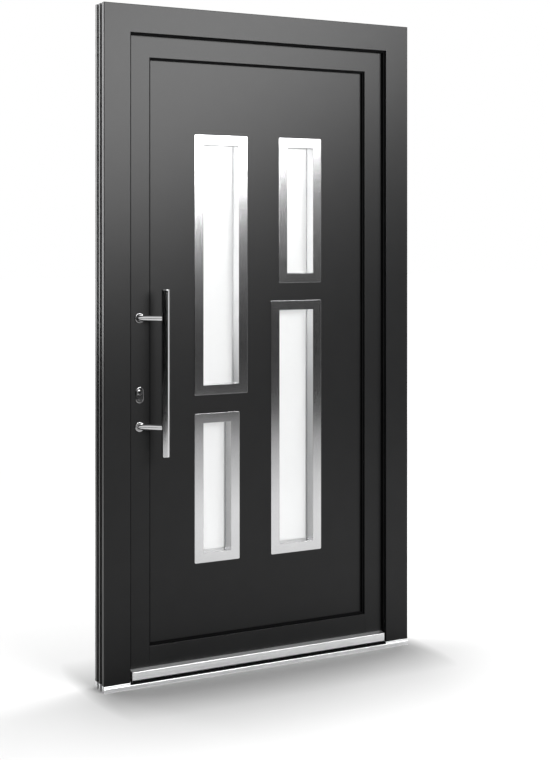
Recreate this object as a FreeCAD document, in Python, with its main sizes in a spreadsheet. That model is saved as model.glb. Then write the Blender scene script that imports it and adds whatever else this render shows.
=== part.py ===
import FreeCAD, Part
import math
import os
import re

import Sketcher

# A front door of thermally broken aluminium profiles: a frame that the wall holds,
# and a leaf that swings inwards on three hinges.
# X runs from the pull handle's side to the hinge side, Y from the outside into the house, Z up.
# The origin is the middle of the threshold's underside.

# Driving sizes in millimetres. "In from the edge" is counted from the frame's outer edge,
# and "back" from the frame's outer face towards the house.
SIZES = (
    # Outer frame
    ("frame_wide", 1100, "overall width of the frame"),
    ("frame_tall", 2100, "overall height with the threshold"),
    ("frame_deep", 75, "depth of the frame profiles"),
    ("face_wide", 86.5, "visible width of jambs and head from outside"),
    ("jamb_wide", 62, "width of jambs and head behind the lip"),
    ("lip_thick", 9, "thickness of the lip that covers the leaf"),
    ("shell_deep", 17.6, "depth of each aluminium shell"),
    ("groove_deep", 6, "depth of the black grooves in the frame's outer side"),
    ("rib_back", 32.8, "where the centre rib starts, back from the outer face"),
    ("rib_wide", 11, "width of the centre rib"),
    ("break_recess", 3, "recess of the thermal break in the rebates"),
    ("edge_round", 2, "rounding of the outer visible edges"),
    ("lip_round", 1, "rounding of the lips' edges"),
    ("corner_gap", 0.3, "gap between strips that meet at a corner"),
    # Threshold
    ("sill_tall", 20, "height of the threshold"),
    ("sill_nose_tall", 13, "height of the threshold's nose"),
    ("sill_nose_out", 3, "how far the nose stands out in front of the frame"),
    # Leaf
    ("leaf_gap", 12, "rebate gap between the leaf's edge and the jamb"),
    ("leaf_back", 21, "how far the leaf's face lies behind the frame's"),
    ("leaf_deep", 75, "depth of the leaf profiles"),
    ("stile_face", 72, "visible width of stiles and top rail, with the gasket"),
    ("stile_body", 68, "width of the stiles' bodies beside the panel"),
    ("rail_tall", 92.3, "height of the bottom rail's face"),
    ("glazing_lip", 7, "thickness of the leaf's lip over the panel"),
    ("flange_wide", 20, "width of the leaf's inner flange beyond its edge"),
    ("flange_thick", 15, "thickness of the leaf's inner flange"),
    ("leaf_lift", 5, "gap between the leaf's bottom and the threshold"),
    # Seals
    ("seal_show", 6, "visible width of the black seals"),
    ("seal_grip", 16, "width of a seal that lies behind its lip"),
    ("seal_clear", 0.3, "gap between a seal and what it closes against"),
    ("inner_seal_edge", 1, "from the inner flange's edge to its seal"),
    ("inner_seal_wide", 6, "width of the seal on the leaf's inner flange"),
    ("brush_deep", 8, "depth of the seal under the leaf"),
    # Infill panel
    ("panel_deep", 50, "thickness of the insulated infill panel"),
    ("panel_back", 37, "how far the panel's face lies behind the frame's"),
    ("panel_gap", 4, "gap round the panel in its rebate"),
    ("skin_thick", 2, "thickness of the panel's aluminium skins"),
    ("bead_wide", 18, "width of the glazing beads inside"),
    # Windows
    ("layout_half", 230.8, "from the leaf's middle to the windows' outer edges"),
    ("layout_base", 351.6, "height of the lowest window's bottom edge"),
    ("layout_top", 390.3, "from the frame's top down to the highest window's top edge"),
    ("tall_wide", 187.5, "width of the tall window trims"),
    ("short_high", 473.9, "height of the short window trims"),
    ("short_wide", 159, "width of the short window trims"),
    ("stack_gap", 58.2, "gap between the trims of one column"),
    ("trim_border", 31, "width of a trim's flange"),
    ("trim_thick", 2, "thickness of a trim's flange"),
    ("trim_wall", 1.5, "thickness of a trim's lining"),
    ("trim_round", 4, "corner radius of a trim's flange"),
    ("pane_back", 77, "how far the glass lies behind the frame's face"),
    ("pane_thick", 6, "thickness of the glass"),
    ("pane_edge", 8, "width of glass held behind the lining"),
    ("cut_gap", 1, "gap between a lining and the panel's cut-out"),
    # Weather bar
    ("bar_end_gap", 6.5, "gap between the weather bar's ends and the jambs' lips"),
    ("bar_face_tall", 25, "height of the weather bar's front face"),
    ("bar_slope", 4, "rise of the weather bar's sloping top"),
    ("bar_wall", 2.5, "wall of the weather bar"),
    ("bar_seal_gap", 5, "gap between the weather bar and the seals above it"),
    # Pull handle
    ("lock_line", 124.5, "lock and handle line, in from the edge"),
    ("pull_dia", 25, "diameter of the pull bar"),
    ("pull_long", 514, "length of the pull bar"),
    ("pull_mid", 967, "height of the pull bar's middle"),
    ("pull_side", 62, "how far the bar stands to the side of its feet"),
    ("pull_out", 61, "how far the bar's axis stands out from the leaf"),
    ("pull_feet", 336, "distance between the feet"),
    ("support_dia", 19, "diameter of the oblique supports"),
    ("foot_dia", 30, "diameter of the feet's discs"),
    ("foot_thick", 4, "thickness of the feet's discs"),
    ("cope_gap", 0.1, "gap between a support and the round bar"),
    ("end_chamfer", 1, "chamfer on the ends of the pull bar"),
    # Lock
    ("cylinder_mid", 905, "height of the lock cylinder's centre"),
    ("cylinder_dia", 17, "diameter of the cylinder's round part"),
    ("cylinder_tail", 10, "width of the cylinder's tail"),
    ("cylinder_tall", 33, "overall height of the cylinder"),
    ("cylinder_out", 5, "how far the cylinder stands out from the leaf"),
    ("rose_wide", 26, "width of the lock's oval rose"),
    ("rose_tall", 49, "height of the lock's oval rose"),
    ("rose_thick", 3, "thickness of the lock's oval rose"),
    ("fit_gap", 0.2, "gap round the cylinder in its rose"),
    ("lock_plate_wide", 24, "width of the lock's faceplate"),
    ("lock_plate_foot", 150, "height of the faceplate's lower end"),
    ("lock_plate_top", 250, "from the frame's top down to the faceplate's upper end"),
    ("strike_wide", 24, "width of the strike plates"),
    ("strike_tall", 160, "height of the strike plates"),
    ("strike_thick", 2.5, "thickness of the strike plates"),
    ("strike_end", 130, "from the faceplate's ends to the middles of the outer strike plates"),
    ("keep_wide", 11, "width of the bolt holes in the strike plates"),
    ("keep_tall", 70, "height of the bolt holes in the strike plates"),
    # Inside handle
    ("plate_wide", 28, "width of the inside handle's plate"),
    ("plate_tall", 230, "height of the inside handle's plate"),
    ("plate_thick", 9, "thickness of the inside handle's plate"),
    ("turn_out", 2, "how far the cylinder stands out from the inside plate"),
    ("lever_high", 1040, "height of the inside lever"),
    ("lever_dia", 19, "diameter of the inside lever"),
    ("lever_out", 52, "how far the lever's axis stands out from the leaf"),
    ("lever_long", 125, "length of the inside lever"),
    # Hinges
    ("hinge_low", 240, "height of the lowest hinge's middle"),
    ("hinge_top", 250, "from the frame's top down to the highest hinge's middle"),
    ("hinge_tall", 124, "height of a hinge"),
    ("barrel_dia", 22, "diameter of the hinge barrels"),
    ("pin_dia", 10, "diameter of the hinge pins"),
    ("pin_clear", 0.05, "radial clearance of a hinge pin in the leaf's knuckle"),
    ("knuckle_tall", 52, "height of the leaf's knuckle"),
    ("knuckle_gap", 0.4, "gap between the knuckles of a hinge"),
    ("hinge_side", 42, "hinge axis, in from the edge"),
    ("hinge_plate_thick", 5, "thickness of the hinge plates"),
    ("hinge_plate_wide", 43, "width of the frame's hinge plate"),
    ("hinge_arm_wide", 16, "width of the arms of the frame's hinge half"),
    ("leaf_plate_wide", 52, "width of the leaf's hinge plate"),
    ("leaf_plate_edge", 6, "from the flange's edge to the leaf's hinge plate"),
    # Wall fixings
    ("fixing_dia", 11, "diameter of the holes for the frame screws"),
    ("fixing_low", 150, "height of the lowest frame screw"),
    ("fixing_top", 270, "from the frame's top down to the highest frame screw"),
    ("fixing_back", 51, "frame screws, back from the outer face"),
)

HINGE_COUNT = 3
STRIKE_COUNT = 3
FIXING_COUNT = 4

# Lengths that follow from the driving sizes.
DERIVED = {
    "leaf_edge": "jamb_wide + leaf_gap",
    "leaf_inside": "leaf_back + leaf_deep",
    "flange_edge": "leaf_edge - flange_wide",
    "flange_back": "leaf_inside - flange_thick",
    "stile_edge": "face_wide + stile_face",
    "body_edge": "leaf_edge + stile_body",
    "leaf_foot": "sill_tall + leaf_lift",
    "rail_top": "leaf_foot + rail_tall",
    "rail_body_top": "rail_top - (stile_edge - body_edge)",
    "inner_shell_back": "frame_deep - shell_deep",
    "leaf_shell_back": "leaf_back + shell_deep",
    "leaf_inner_shell_back": "leaf_inside - shell_deep",
    "panel_edge": "body_edge + panel_gap",
    "panel_foot": "rail_body_top + panel_gap",
    "panel_inside": "panel_back + panel_deep",
    "bar_top": "leaf_foot + bar_face_tall + bar_slope",
    "seal_foot": "bar_top + bar_seal_gap",
    "barrel_back": "leaf_inside + barrel_dia/2",
    "pane_inside": "pane_back + pane_thick",
    "tall_high": "frame_tall - layout_top - layout_base - stack_gap - short_high",
    "lock_plate_tall": "frame_tall - lock_plate_top - lock_plate_foot",
    "lock_back": "leaf_shell_back + (leaf_inner_shell_back - leaf_shell_back)/2",
    "hinge_step": f"(frame_tall - hinge_top - hinge_low)/{HINGE_COUNT - 1}",
    "strike_step": f"(lock_plate_tall - 2*strike_end)/{STRIKE_COUNT - 1}",
    "fixing_step": f"(frame_tall - fixing_top - fixing_low)/{FIXING_COUNT - 1}",
}

doc = FreeCAD.newDocument("front_door")
sheet = doc.addObject("Spreadsheet::Sheet", "sizes")
for row, (alias, value, note) in enumerate(SIZES, start=1):
    sheet.set(f"A{row}", alias)
    sheet.set(f"B{row}", str(value))
    sheet.set(f"C{row}", note)
    sheet.setAlias(f"B{row}", alias)
doc.recompute()
ALIASES = {alias for alias, value, note in SIZES}
NODES = []


def bound(text):
    """The expression that reads each size named in text from the sheet."""
    def swap(match):
        word = match.group(0)
        if word in ALIASES:
            return f"sizes.{word}"
        if word in DERIVED:
            return f"({bound(DERIVED[word])})"
        return word
    return re.sub(r"[a-z_]+", swap, text)


def number(text):
    """The value of an expression in millimetres."""
    return float(sheet.evalExpression(bound(text)))


def back(text):
    """The Y of a plane that lies text back from the frame's outer face."""
    return f"({text}) - frame_deep/2"


def across(side, text):
    """The X that lies text in from the frame's edge on one side."""
    if side == "left":
        return f"({text}) - frame_wide/2"
    return f"frame_wide/2 - ({text})"


def below(text):
    """The height that lies text below the frame's top."""
    return f"frame_tall - ({text})"


# Bodies, sketches and features

def new_body(name):
    """An empty body whose shape becomes the node of that name."""
    body = doc.addObject("PartDesign::Body", name)
    body.Label = name
    body.AllowCompound = True
    NODES.append(body)
    return body


def new_sketch(body, name, role, offset):
    """A sketch on one of the body's own planes, moved along the plane's normal."""
    sketch = body.newObject("Sketcher::SketchObject", f"{body.Name}_{name}")
    plane = [item for item in body.Origin.OriginFeatures if item.Role == role][0]
    sketch.AttachmentSupport = [(plane, "")]
    sketch.MapMode = "FlatFace"
    sketch.setExpression("AttachmentOffset.Base.z", bound(offset))
    return sketch


def add_loop(sketch, corners):
    """A closed outline of straight lines, with each corner tied to its two expressions."""
    points = [FreeCAD.Vector(number(first), number(second), 0) for first, second in corners]
    lines = []
    for start, end in zip(points, points[1:] + points[:1]):
        lines.append(sketch.addGeometry(Part.LineSegment(start, end), False))
    for line, following in zip(lines, lines[1:] + lines[:1]):
        sketch.addConstraint(Sketcher.Constraint("Coincident", line, 2, following, 1))
    for line, point, (first, second) in zip(lines, points, corners):
        for kind, value, text in (("DistanceX", point.x, first), ("DistanceY", point.y, second)):
            tie = sketch.addConstraint(Sketcher.Constraint(kind, -1, 1, line, 1, value))
            sketch.setExpression(f"Constraints[{tie}]", bound(text))


def add_circle(sketch, first, second, radius):
    """A circle with its centre and radius tied to expressions."""
    middle = FreeCAD.Vector(number(first), number(second), 0)
    circle = Part.Circle(middle, FreeCAD.Vector(0, 0, 1), number(radius))
    index = sketch.addGeometry(circle, False)
    ties = (
        (Sketcher.Constraint("DistanceX", -1, 1, index, 3, middle.x), first),
        (Sketcher.Constraint("DistanceY", -1, 1, index, 3, middle.y), second),
        (Sketcher.Constraint("Radius", index, number(radius)), radius),
    )
    for constraint, text in ties:
        tie = sketch.addConstraint(constraint)
        sketch.setExpression(f"Constraints[{tie}]", bound(text))


def extrude(body, sketch, length, kind="PartDesign::Pad"):
    """A pad or pocket of the sketch along its normal."""
    feature = body.newObject(kind, f"{sketch.Name}_{kind.split(':')[-1]}")
    feature.Profile = sketch
    feature.setExpression("Length", bound(length))
    doc.recompute()
    return feature


def front_pad(body, name, loops, near, far):
    """A pad of an outline seen from the front, from `near` to `far` behind the outer face."""
    sketch = new_sketch(body, name, "XZ_Plane", f"-({back(far)})")
    for corners in loops:
        add_loop(sketch, corners)
    return extrude(body, sketch, f"({far}) - ({near})")


def front_cut(body, name, loops, near, far):
    """A pocket with an outline seen from the front, from `near` to `far`."""
    before = body.Shape.Volume
    sketch = new_sketch(body, name, "XZ_Plane", f"-({back(near)})")
    for corners in loops:
        add_loop(sketch, corners)
    pocket = extrude(body, sketch, f"({far}) - ({near})", "PartDesign::Pocket")
    if body.Shape.Volume >= before:
        raise ValueError(f"{body.Label}: the cut {name} takes nothing away")
    return pocket


def upright_pad(body, name, loops, foot, tall):
    """A pad of an outline seen from above, from `foot` upwards."""
    sketch = new_sketch(body, name, "XY_Plane", foot)
    for corners in loops:
        add_loop(sketch, corners)
    return extrude(body, sketch, tall)


def lengthwise_pad(body, name, loops, left_x, length):
    """A pad of an outline seen from the side, (Y, Z), along X."""
    sketch = new_sketch(body, name, "YZ_Plane", left_x)
    for corners in loops:
        add_loop(sketch, corners)
    return extrude(body, sketch, length)


def edge_names(shape, chosen):
    """The names of the edges that chosen(edge) accepts."""
    return [f"Edge{index}" for index, edge in enumerate(shape.Edges, start=1) if chosen(edge)]


def soften(body, name, radius, chosen, kind="PartDesign::Fillet"):
    """A fillet or chamfer on the chosen edges."""
    base = body.Tip
    feature = body.newObject(kind, f"{body.Name}_{name}")
    feature.Base = (base, edge_names(base.Shape, chosen))
    size = "Radius" if kind.endswith("Fillet") else "Size"
    feature.setExpression(size, bound(radius))
    doc.recompute()
    body.Tip = feature
    return feature


def along(axis, tests):
    """A test for edges that run along an axis at the places given for the other axes."""
    def chosen(edge):
        if len(edge.Vertexes) != 2:
            return False
        first, second = (vertex.Point for vertex in edge.Vertexes)
        for other in "xyz".replace(axis, ""):
            if abs(getattr(first, other) - getattr(second, other)) > 1e-4:
                return False
        return any(
            all(abs(getattr(first, name) - number(text)) < 1e-3 for name, text in test.items())
            for test in tests
        )
    return chosen


def is_round(edge):
    """Whether an edge is a whole circle."""
    return len(edge.Vertexes) == 1


def rectangle(left, right, low, high):
    """The corners of an upright rectangle."""
    return [(left, low), (right, low), (right, high), (left, high)]


def post_outline(side, outer, inner, foot):
    """An upright member with a mitred top, between two distances in from the edge."""
    return [
        (across(side, outer), foot),
        (across(side, inner), foot),
        (across(side, inner), below(inner)),
        (across(side, outer), below(outer)),
    ]


def beam_outline(outer, inner, trim="0"):
    """A top member with mitred ends, shortened by `trim` at each end."""
    left, right = f"({outer}) + {trim}", f"({inner}) + {trim}"
    return [
        (across("left", left), below(outer)),
        (across("left", right), below(inner)),
        (across("right", right), below(inner)),
        (across("right", left), below(outer)),
    ]


def arch_outline(outer, inner, foot):
    """A strip that runs up one side, across the top and down the other."""
    return [
        (across("left", outer), foot),
        (across("left", outer), below(outer)),
        (across("right", outer), below(outer)),
        (across("right", outer), foot),
        (across("right", inner), foot),
        (across("right", inner), below(inner)),
        (across("left", inner), below(inner)),
        (across("left", inner), foot),
    ]


# Outer frame

def frame_shells():
    """The outer and inner shells of jambs and head, mitred at the top corners."""
    front, rear = back("0"), back("frame_deep")
    for name in ("left_jamb", "right_jamb", "head"):
        side = name.split("_")[0]
        if name == "head":
            lip, block = beam_outline("0", "face_wide"), beam_outline("0", "jamb_wide")
            corner, lip_edge = ({"y": front, "z": below(text)} for text in ("0", "face_wide"))
            inner_edges = [{"y": rear, "z": below(text)} for text in ("0", "jamb_wide")]
            run = "x"
        else:
            lip = post_outline(side, "0", "face_wide", "sill_tall")
            block = post_outline(side, "0", "jamb_wide", "sill_tall")
            corner, lip_edge = ({"y": front, "x": across(side, text)} for text in ("0", "face_wide"))
            inner_edges = [{"y": rear, "x": across(side, text)} for text in ("0", "jamb_wide")]
            run = "z"
        outer = new_body(f"{name}_outer_shell")
        front_pad(outer, "lip", [lip], "0", "lip_thick")
        front_pad(outer, "block", [block], "lip_thick", "shell_deep")
        soften(outer, "corner_rounding", "edge_round", along(run, [corner]))
        soften(outer, "lip_rounding", "lip_round", along(run, [lip_edge]))
        inner = new_body(f"{name}_inner_shell")
        front_pad(inner, "block", [block], "inner_shell_back", "frame_deep")
        soften(inner, "rounding", "edge_round", along(run, inner_edges))


def frame_breaks():
    """The black insulating strips between the shells, with holes for the frame screws."""
    outer, inner = "groove_deep", "jamb_wide - break_recess"
    body = new_body("frame_thermal_breaks")
    strips = [post_outline(side, outer, inner, "sill_tall") for side in ("left", "right")]
    strips.append(beam_outline(outer, inner, "corner_gap"))
    front_pad(body, "strips", strips, "shell_deep", "inner_shell_back")
    drill = new_sketch(body, "screw_holes", "YZ_Plane", across("left", "0"))
    for index in range(FIXING_COUNT):
        add_circle(drill, back("fixing_back"), f"fixing_low + {index}*fixing_step", "fixing_dia/2")
    before = body.Shape.Volume
    holes = extrude(body, drill, "frame_wide", "PartDesign::Pocket")
    holes.Reversed = True
    doc.recompute()
    if body.Shape.Volume >= before:
        raise ValueError("the frame screws' holes take nothing away")


def frame_ribs():
    """The aluminium rib in the middle of the frame's outer sides."""
    body = new_body("frame_centre_ribs")
    strips = [post_outline(side, "0", "groove_deep", "sill_tall") for side in ("left", "right")]
    strips.append(beam_outline("0", "groove_deep", "corner_gap"))
    front_pad(body, "strips", strips, "rib_back", "rib_back + rib_wide")


def threshold():
    """The low threshold: outer nose, insulating core, ribs at its ends and inner part."""
    wide = "frame_wide"
    start = across("left", "0")
    nose = new_body("threshold_outer_rail")
    front, ledge, rear = back("-sill_nose_out"), back("0"), back("shell_deep")
    section = [(rear, "0"), (front, "0"), (front, "sill_nose_tall"), (ledge, "sill_nose_tall"),
               (ledge, "sill_tall"), (rear, "sill_tall")]
    lengthwise_pad(nose, "section", [section], start, wide)
    soften(nose, "rounding", "lip_round", along("x", [{"y": front, "z": "sill_nose_tall"}]))
    core = new_body("threshold_thermal_break")
    section = rectangle(back("shell_deep"), back("inner_shell_back"), "0", "sill_tall")
    lengthwise_pad(core, "section", [section], across("left", "groove_deep"), "frame_wide - 2*groove_deep")
    ribs = new_body("threshold_end_ribs")
    section = rectangle(back("rib_back"), back("rib_back + rib_wide"), "0", "sill_tall")
    lengthwise_pad(ribs, "left", [section], start, "groove_deep")
    lengthwise_pad(ribs, "right", [section], across("right", "groove_deep"), "groove_deep")
    inner = new_body("threshold_inner_rail")
    section = rectangle(back("inner_shell_back"), back("frame_deep"), "0", "sill_tall")
    lengthwise_pad(inner, "section", [section], start, wide)


def stop_seal():
    """The black seal behind the frame's lip, against which the leaf closes."""
    body = new_body("frame_stop_seal")
    strip = arch_outline("face_wide + seal_show - seal_grip", "face_wide + seal_show", "seal_foot")
    front_pad(body, "strip", [strip], "lip_thick", "leaf_back - seal_clear")


def strike_heights():
    """The height of each strike plate's middle."""
    return [f"lock_plate_foot + strike_end + {index}*strike_step" for index in range(STRIKE_COUNT)]


def strike_plates():
    """Steel plates in the latch jamb's rebate, opposite the lock's faceplate, with bolt holes."""
    body = new_body("strike_plates")
    loops = []
    for middle in strike_heights():
        for wide, tall in (("strike_wide", "strike_tall"), ("keep_wide", "keep_tall")):
            loops.append(rectangle(back(f"lock_back - {wide}/2"), back(f"lock_back + {wide}/2"),
                                   f"{middle} - {tall}/2", f"{middle} + {tall}/2"))
    lengthwise_pad(body, "plates", loops, across("left", "jamb_wide"), "strike_thick")


# Leaf

def leaf_outer_shells():
    """The leaf's outer shells, with the lip that covers the panel's edge."""
    front = back("leaf_back")
    for name in ("left_stile", "right_stile", "top_rail"):
        side = name.split("_")[0]
        if name == "top_rail":
            lip, block = beam_outline("leaf_edge", "stile_edge"), beam_outline("leaf_edge", "body_edge")
            rounded = along("x", [{"y": front, "z": below("stile_edge")}])
        else:
            lip = post_outline(side, "leaf_edge", "stile_edge", "leaf_foot")
            block = post_outline(side, "leaf_edge", "body_edge", "leaf_foot")
            rounded = along("z", [{"y": front, "x": across(side, "stile_edge")}])
        body = new_body(f"{name}_outer_shell")
        front_pad(body, "lip", [lip], "leaf_back", "leaf_back + glazing_lip")
        front_pad(body, "block", [block], "leaf_back + glazing_lip", "leaf_shell_back")
        soften(body, "rounding", "lip_round", rounded)
    body = new_body("bottom_rail_outer_shell")
    lip = rectangle(across("left", "stile_edge"), across("right", "stile_edge"), "leaf_foot", "rail_top")
    block = rectangle(across("left", "body_edge"), across("right", "body_edge"), "leaf_foot", "rail_body_top")
    front_pad(body, "lip", [lip], "leaf_back", "leaf_back + glazing_lip")
    front_pad(body, "block", [block], "leaf_back + glazing_lip", "leaf_shell_back")
    soften(body, "rounding", "lip_round", along("x", [{"y": front, "z": "rail_top"}]))


def leaf_inner_shells():
    """The leaf's inner shells, with the flange that covers the frame's inner face."""
    rear = back("leaf_inside")
    for name in ("left_stile", "right_stile", "top_rail"):
        side = name.split("_")[0]
        if name == "top_rail":
            block, flange = beam_outline("leaf_edge", "body_edge"), beam_outline("flange_edge", "body_edge")
            rounded = along("x", [{"y": rear, "z": below("flange_edge")}])
        else:
            block = post_outline(side, "leaf_edge", "body_edge", "leaf_foot")
            flange = post_outline(side, "flange_edge", "body_edge", "leaf_foot")
            rounded = along("z", [{"y": rear, "x": across(side, "flange_edge")}])
        body = new_body(f"{name}_inner_shell")
        front_pad(body, "block", [block], "leaf_inner_shell_back", "flange_back")
        front_pad(body, "flange", [flange], "flange_back", "leaf_inside")
        soften(body, "rounding", "edge_round", rounded)
    body = new_body("bottom_rail_inner_shell")
    block = rectangle(across("left", "body_edge"), across("right", "body_edge"), "leaf_foot", "rail_body_top")
    front_pad(body, "block", [block], "leaf_inner_shell_back", "leaf_inside")


def leaf_breaks():
    """The black insulating strips between the leaf's shells."""
    outer, inner = "leaf_edge + break_recess", "body_edge - break_recess"
    body = new_body("leaf_thermal_breaks")
    strips = [post_outline(side, outer, inner, "leaf_foot") for side in ("left", "right")]
    strips.append(beam_outline(outer, inner, "corner_gap"))
    strips.append(rectangle(across("left", "body_edge"), across("right", "body_edge"),
                            "leaf_foot", "rail_body_top - break_recess"))
    front_pad(body, "strips", strips, "leaf_shell_back", "leaf_inner_shell_back")


def leaf_seals():
    """The seal on the leaf's inner flange, and the seal under its bottom rail."""
    body = new_body("leaf_seals")
    outer = "flange_edge + inner_seal_edge"
    arch = arch_outline(outer, f"{outer} + inner_seal_wide", "leaf_foot + leaf_lift")
    front_pad(body, "flange_strip", [arch], "frame_deep + seal_clear", "flange_back")
    middle = "leaf_inside/2"
    strip = rectangle(across("left", "leaf_edge + leaf_lift"), across("right", "leaf_edge + leaf_lift"),
                      "sill_tall + seal_clear", "leaf_foot")
    front_pad(body, "bottom_strip", [strip], f"{middle} - brush_deep/2", f"{middle} + brush_deep/2")


# Infill panel and its windows

def windows():
    """Name, left X, right X, bottom and top of each window trim."""
    left, right = "-(layout_half)", "layout_half"
    low_top = {"left": "layout_base + short_high", "right": "layout_base + tall_high"}
    high = "layout_base + tall_high + stack_gap + short_high"
    return (
        ("left_lower", left, f"{left} + short_wide", "layout_base", low_top["left"]),
        ("left_upper", left, f"{left} + tall_wide", f"{low_top['left']} + stack_gap", high),
        ("right_lower", f"{right} - tall_wide", right, "layout_base", low_top["right"]),
        ("right_upper", f"{right} - short_wide", right, f"{low_top['right']} + stack_gap", high),
    )


def window_loop(window, inset):
    """A window's rectangle, moved in from the trim's outer edge."""
    name, left, right, low, high = window
    return rectangle(f"{left} + {inset}", f"{right} - ({inset})", f"{low} + {inset}", f"{high} - ({inset})")


def infill_panel():
    """The insulated panel: two aluminium skins and a core, cut through for the windows."""
    edge = rectangle(across("left", "panel_edge"), across("right", "panel_edge"),
                     "panel_foot", below("panel_edge"))
    skin_cuts = [window_loop(window, "trim_border - trim_wall - cut_gap") for window in windows()]
    core_cuts = [window_loop(window, "trim_border - pane_edge - cut_gap") for window in windows()]
    layers = (
        ("infill_outer_skin", skin_cuts, "panel_back", "panel_back + skin_thick"),
        ("infill_core", core_cuts, "panel_back + skin_thick", "panel_inside - skin_thick"),
        ("infill_inner_skin", skin_cuts, "panel_inside - skin_thick", "panel_inside"),
    )
    for name, cuts, near, far in layers:
        body = new_body(name)
        front_pad(body, "sheet", [edge], near, far)
        front_cut(body, "windows", cuts, near, far)


def glazing():
    """The seal in front of the panel and the beads that hold it from inside."""
    seal = new_body("glazing_seal")
    outer, inner = "stile_edge + seal_show - seal_grip", "stile_edge + seal_show"
    outer_loop = rectangle(across("left", outer), across("right", outer),
                           "rail_top + seal_show - seal_grip", below(outer))
    inner_loop = rectangle(across("left", inner), across("right", inner),
                           "rail_top + seal_show", below(inner))
    front_pad(seal, "ring", [outer_loop, inner_loop], "leaf_back + glazing_lip", "panel_back")
    beads = new_body("glazing_beads")
    start, end, foot = "body_edge", "body_edge + bead_wide", "rail_body_top"
    loops = [rectangle(across("left", start), across("left", end), foot, below(start)),
             rectangle(across("right", end), across("right", start), foot, below(start))]
    for low in (foot, below(end)):
        loops.append(rectangle(across("left", f"{end} + corner_gap"), across("right", f"{end} + corner_gap"),
                               low, f"{low} + bead_wide"))
    front_pad(beads, "strips", loops, "panel_inside", "leaf_inside")


def face_span(loop, axis):
    """The two different expressions that a rectangle has on one axis."""
    return (loop[0][axis], loop[2][axis])


def window_trims():
    """Steel trims round the windows outside, each with the lining of its reveal."""
    for window in windows():
        body = new_body(f"window_trim_{window[0]}")
        face = window_loop(window, "0")
        opening = window_loop(window, "trim_border")
        lining = window_loop(window, "trim_border - trim_wall")
        near = "panel_back - trim_thick"
        front_pad(body, "flange", [face, opening], near, "panel_back")
        front_pad(body, "lining", [lining, opening], "panel_back", "pane_back")
        corners = [{"x": x, "z": z} for x in face_span(face, 0) for z in face_span(face, 1)]
        soften(body, "corners", "trim_round", along("y", corners))


def inner_trims():
    """The plainer trims round the windows inside."""
    body = new_body("inner_window_trims")
    faces, linings = [], []
    for window in windows():
        faces.append(window_loop(window, "0"))
        faces.append(window_loop(window, "trim_border"))
        linings.append(window_loop(window, "trim_border - trim_wall"))
        linings.append(window_loop(window, "trim_border"))
    front_pad(body, "flanges", faces, "panel_inside", "panel_inside + trim_thick")
    front_pad(body, "linings", linings, "pane_inside", "panel_inside")


def glass():
    """One pane in each window, held between the linings."""
    for window in windows():
        body = new_body(f"glass_{window[0]}")
        front_pad(body, "pane", [window_loop(window, "trim_border - pane_edge")], "pane_back", "pane_inside")


# Weather bar, handles and lock

def weather_bar():
    """The bar on the leaf's foot: an upright face, a sloping top and an open underside."""
    body = new_body("weather_bar")
    front, rear = back("0"), back("leaf_back")
    face_top = "leaf_foot + bar_face_tall"
    section = [
        (rear, "leaf_foot"), (rear, "bar_top"), (front, face_top), (front, "leaf_foot"),
        (back("bar_wall"), "leaf_foot"), (back("bar_wall"), f"{face_top} - bar_wall"),
        (back("leaf_back - bar_wall"), "bar_top - 2*bar_wall"), (back("leaf_back - bar_wall"), "leaf_foot"),
    ]
    lengthwise_pad(body, "section", [section], across("left", "face_wide + bar_end_gap"),
                   "frame_wide - 2*(face_wide + bar_end_gap)")
    soften(body, "rounding", "lip_round", along("x", [{"y": front, "z": face_top}]))


def pull_handle():
    """The round pull bar, on two oblique supports with round feet."""
    axis_x = across("left", "lock_line + pull_side")
    axis_y = back("leaf_back - pull_out")
    bar = new_body("pull_bar")
    sketch = new_sketch(bar, "section", "XY_Plane", "pull_mid - pull_long/2")
    add_circle(sketch, axis_x, axis_y, "pull_dia/2")
    extrude(bar, sketch, "pull_long")
    soften(bar, "ends", "end_chamfer", is_round, "PartDesign::Chamfer")

    # Each support runs from its foot on the lock line to the bar's axis and is coped to the bar.
    supports = []
    for name, sign in (("upper", "+"), ("lower", "-")):
        height = f"pull_mid {sign} pull_feet/2"
        foot = doc.addObject("Part::Cylinder", f"pull_{name}_foot")
        foot.setExpression("Radius", bound("foot_dia/2"))
        foot.setExpression("Height", bound("foot_thick"))
        place(foot, across("left", "lock_line"), back("leaf_back"), height, FreeCAD.Vector(1, 0, 0), "90")
        rod = doc.addObject("Part::Cylinder", f"pull_{name}_rod")
        rod.setExpression("Radius", bound("support_dia/2"))
        rod.setExpression("Height", bound("sqrt(pull_side*pull_side + pull_out*pull_out)"))
        turn = FreeCAD.Vector(number("pull_out"), number("pull_side"), 0)
        place(rod, across("left", "lock_line"), back("leaf_back"), height, turn, "90")
        supports += [foot, rod]
    joined = doc.addObject("Part::MultiFuse", "pull_supports_whole")
    joined.Shapes = supports
    room = doc.addObject("Part::Cylinder", "pull_bar_room")
    room.setExpression("Radius", bound("pull_dia/2 + cope_gap"))
    room.setExpression("Height", bound("pull_long"))
    place(room, axis_x, axis_y, "pull_mid - pull_long/2", FreeCAD.Vector(0, 0, 1), "0")
    inside = doc.addObject("Part::Box", "leaf_room")
    inside.setExpression("Length", bound("4*foot_dia"))
    inside.setExpression("Width", bound("leaf_deep"))
    inside.setExpression("Height", bound("pull_long"))
    place(inside, across("left", "lock_line - 2*foot_dia"), back("leaf_back"), "pull_mid - pull_long/2",
          FreeCAD.Vector(0, 0, 1), "0")
    cutters = doc.addObject("Part::MultiFuse", "pull_supports_room")
    cutters.Shapes = [room, inside]
    coped = doc.addObject("Part::Cut", "pull_bar_supports")
    coped.Base, coped.Tool = joined, cutters
    doc.recompute()
    NODES.append(coped)


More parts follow.
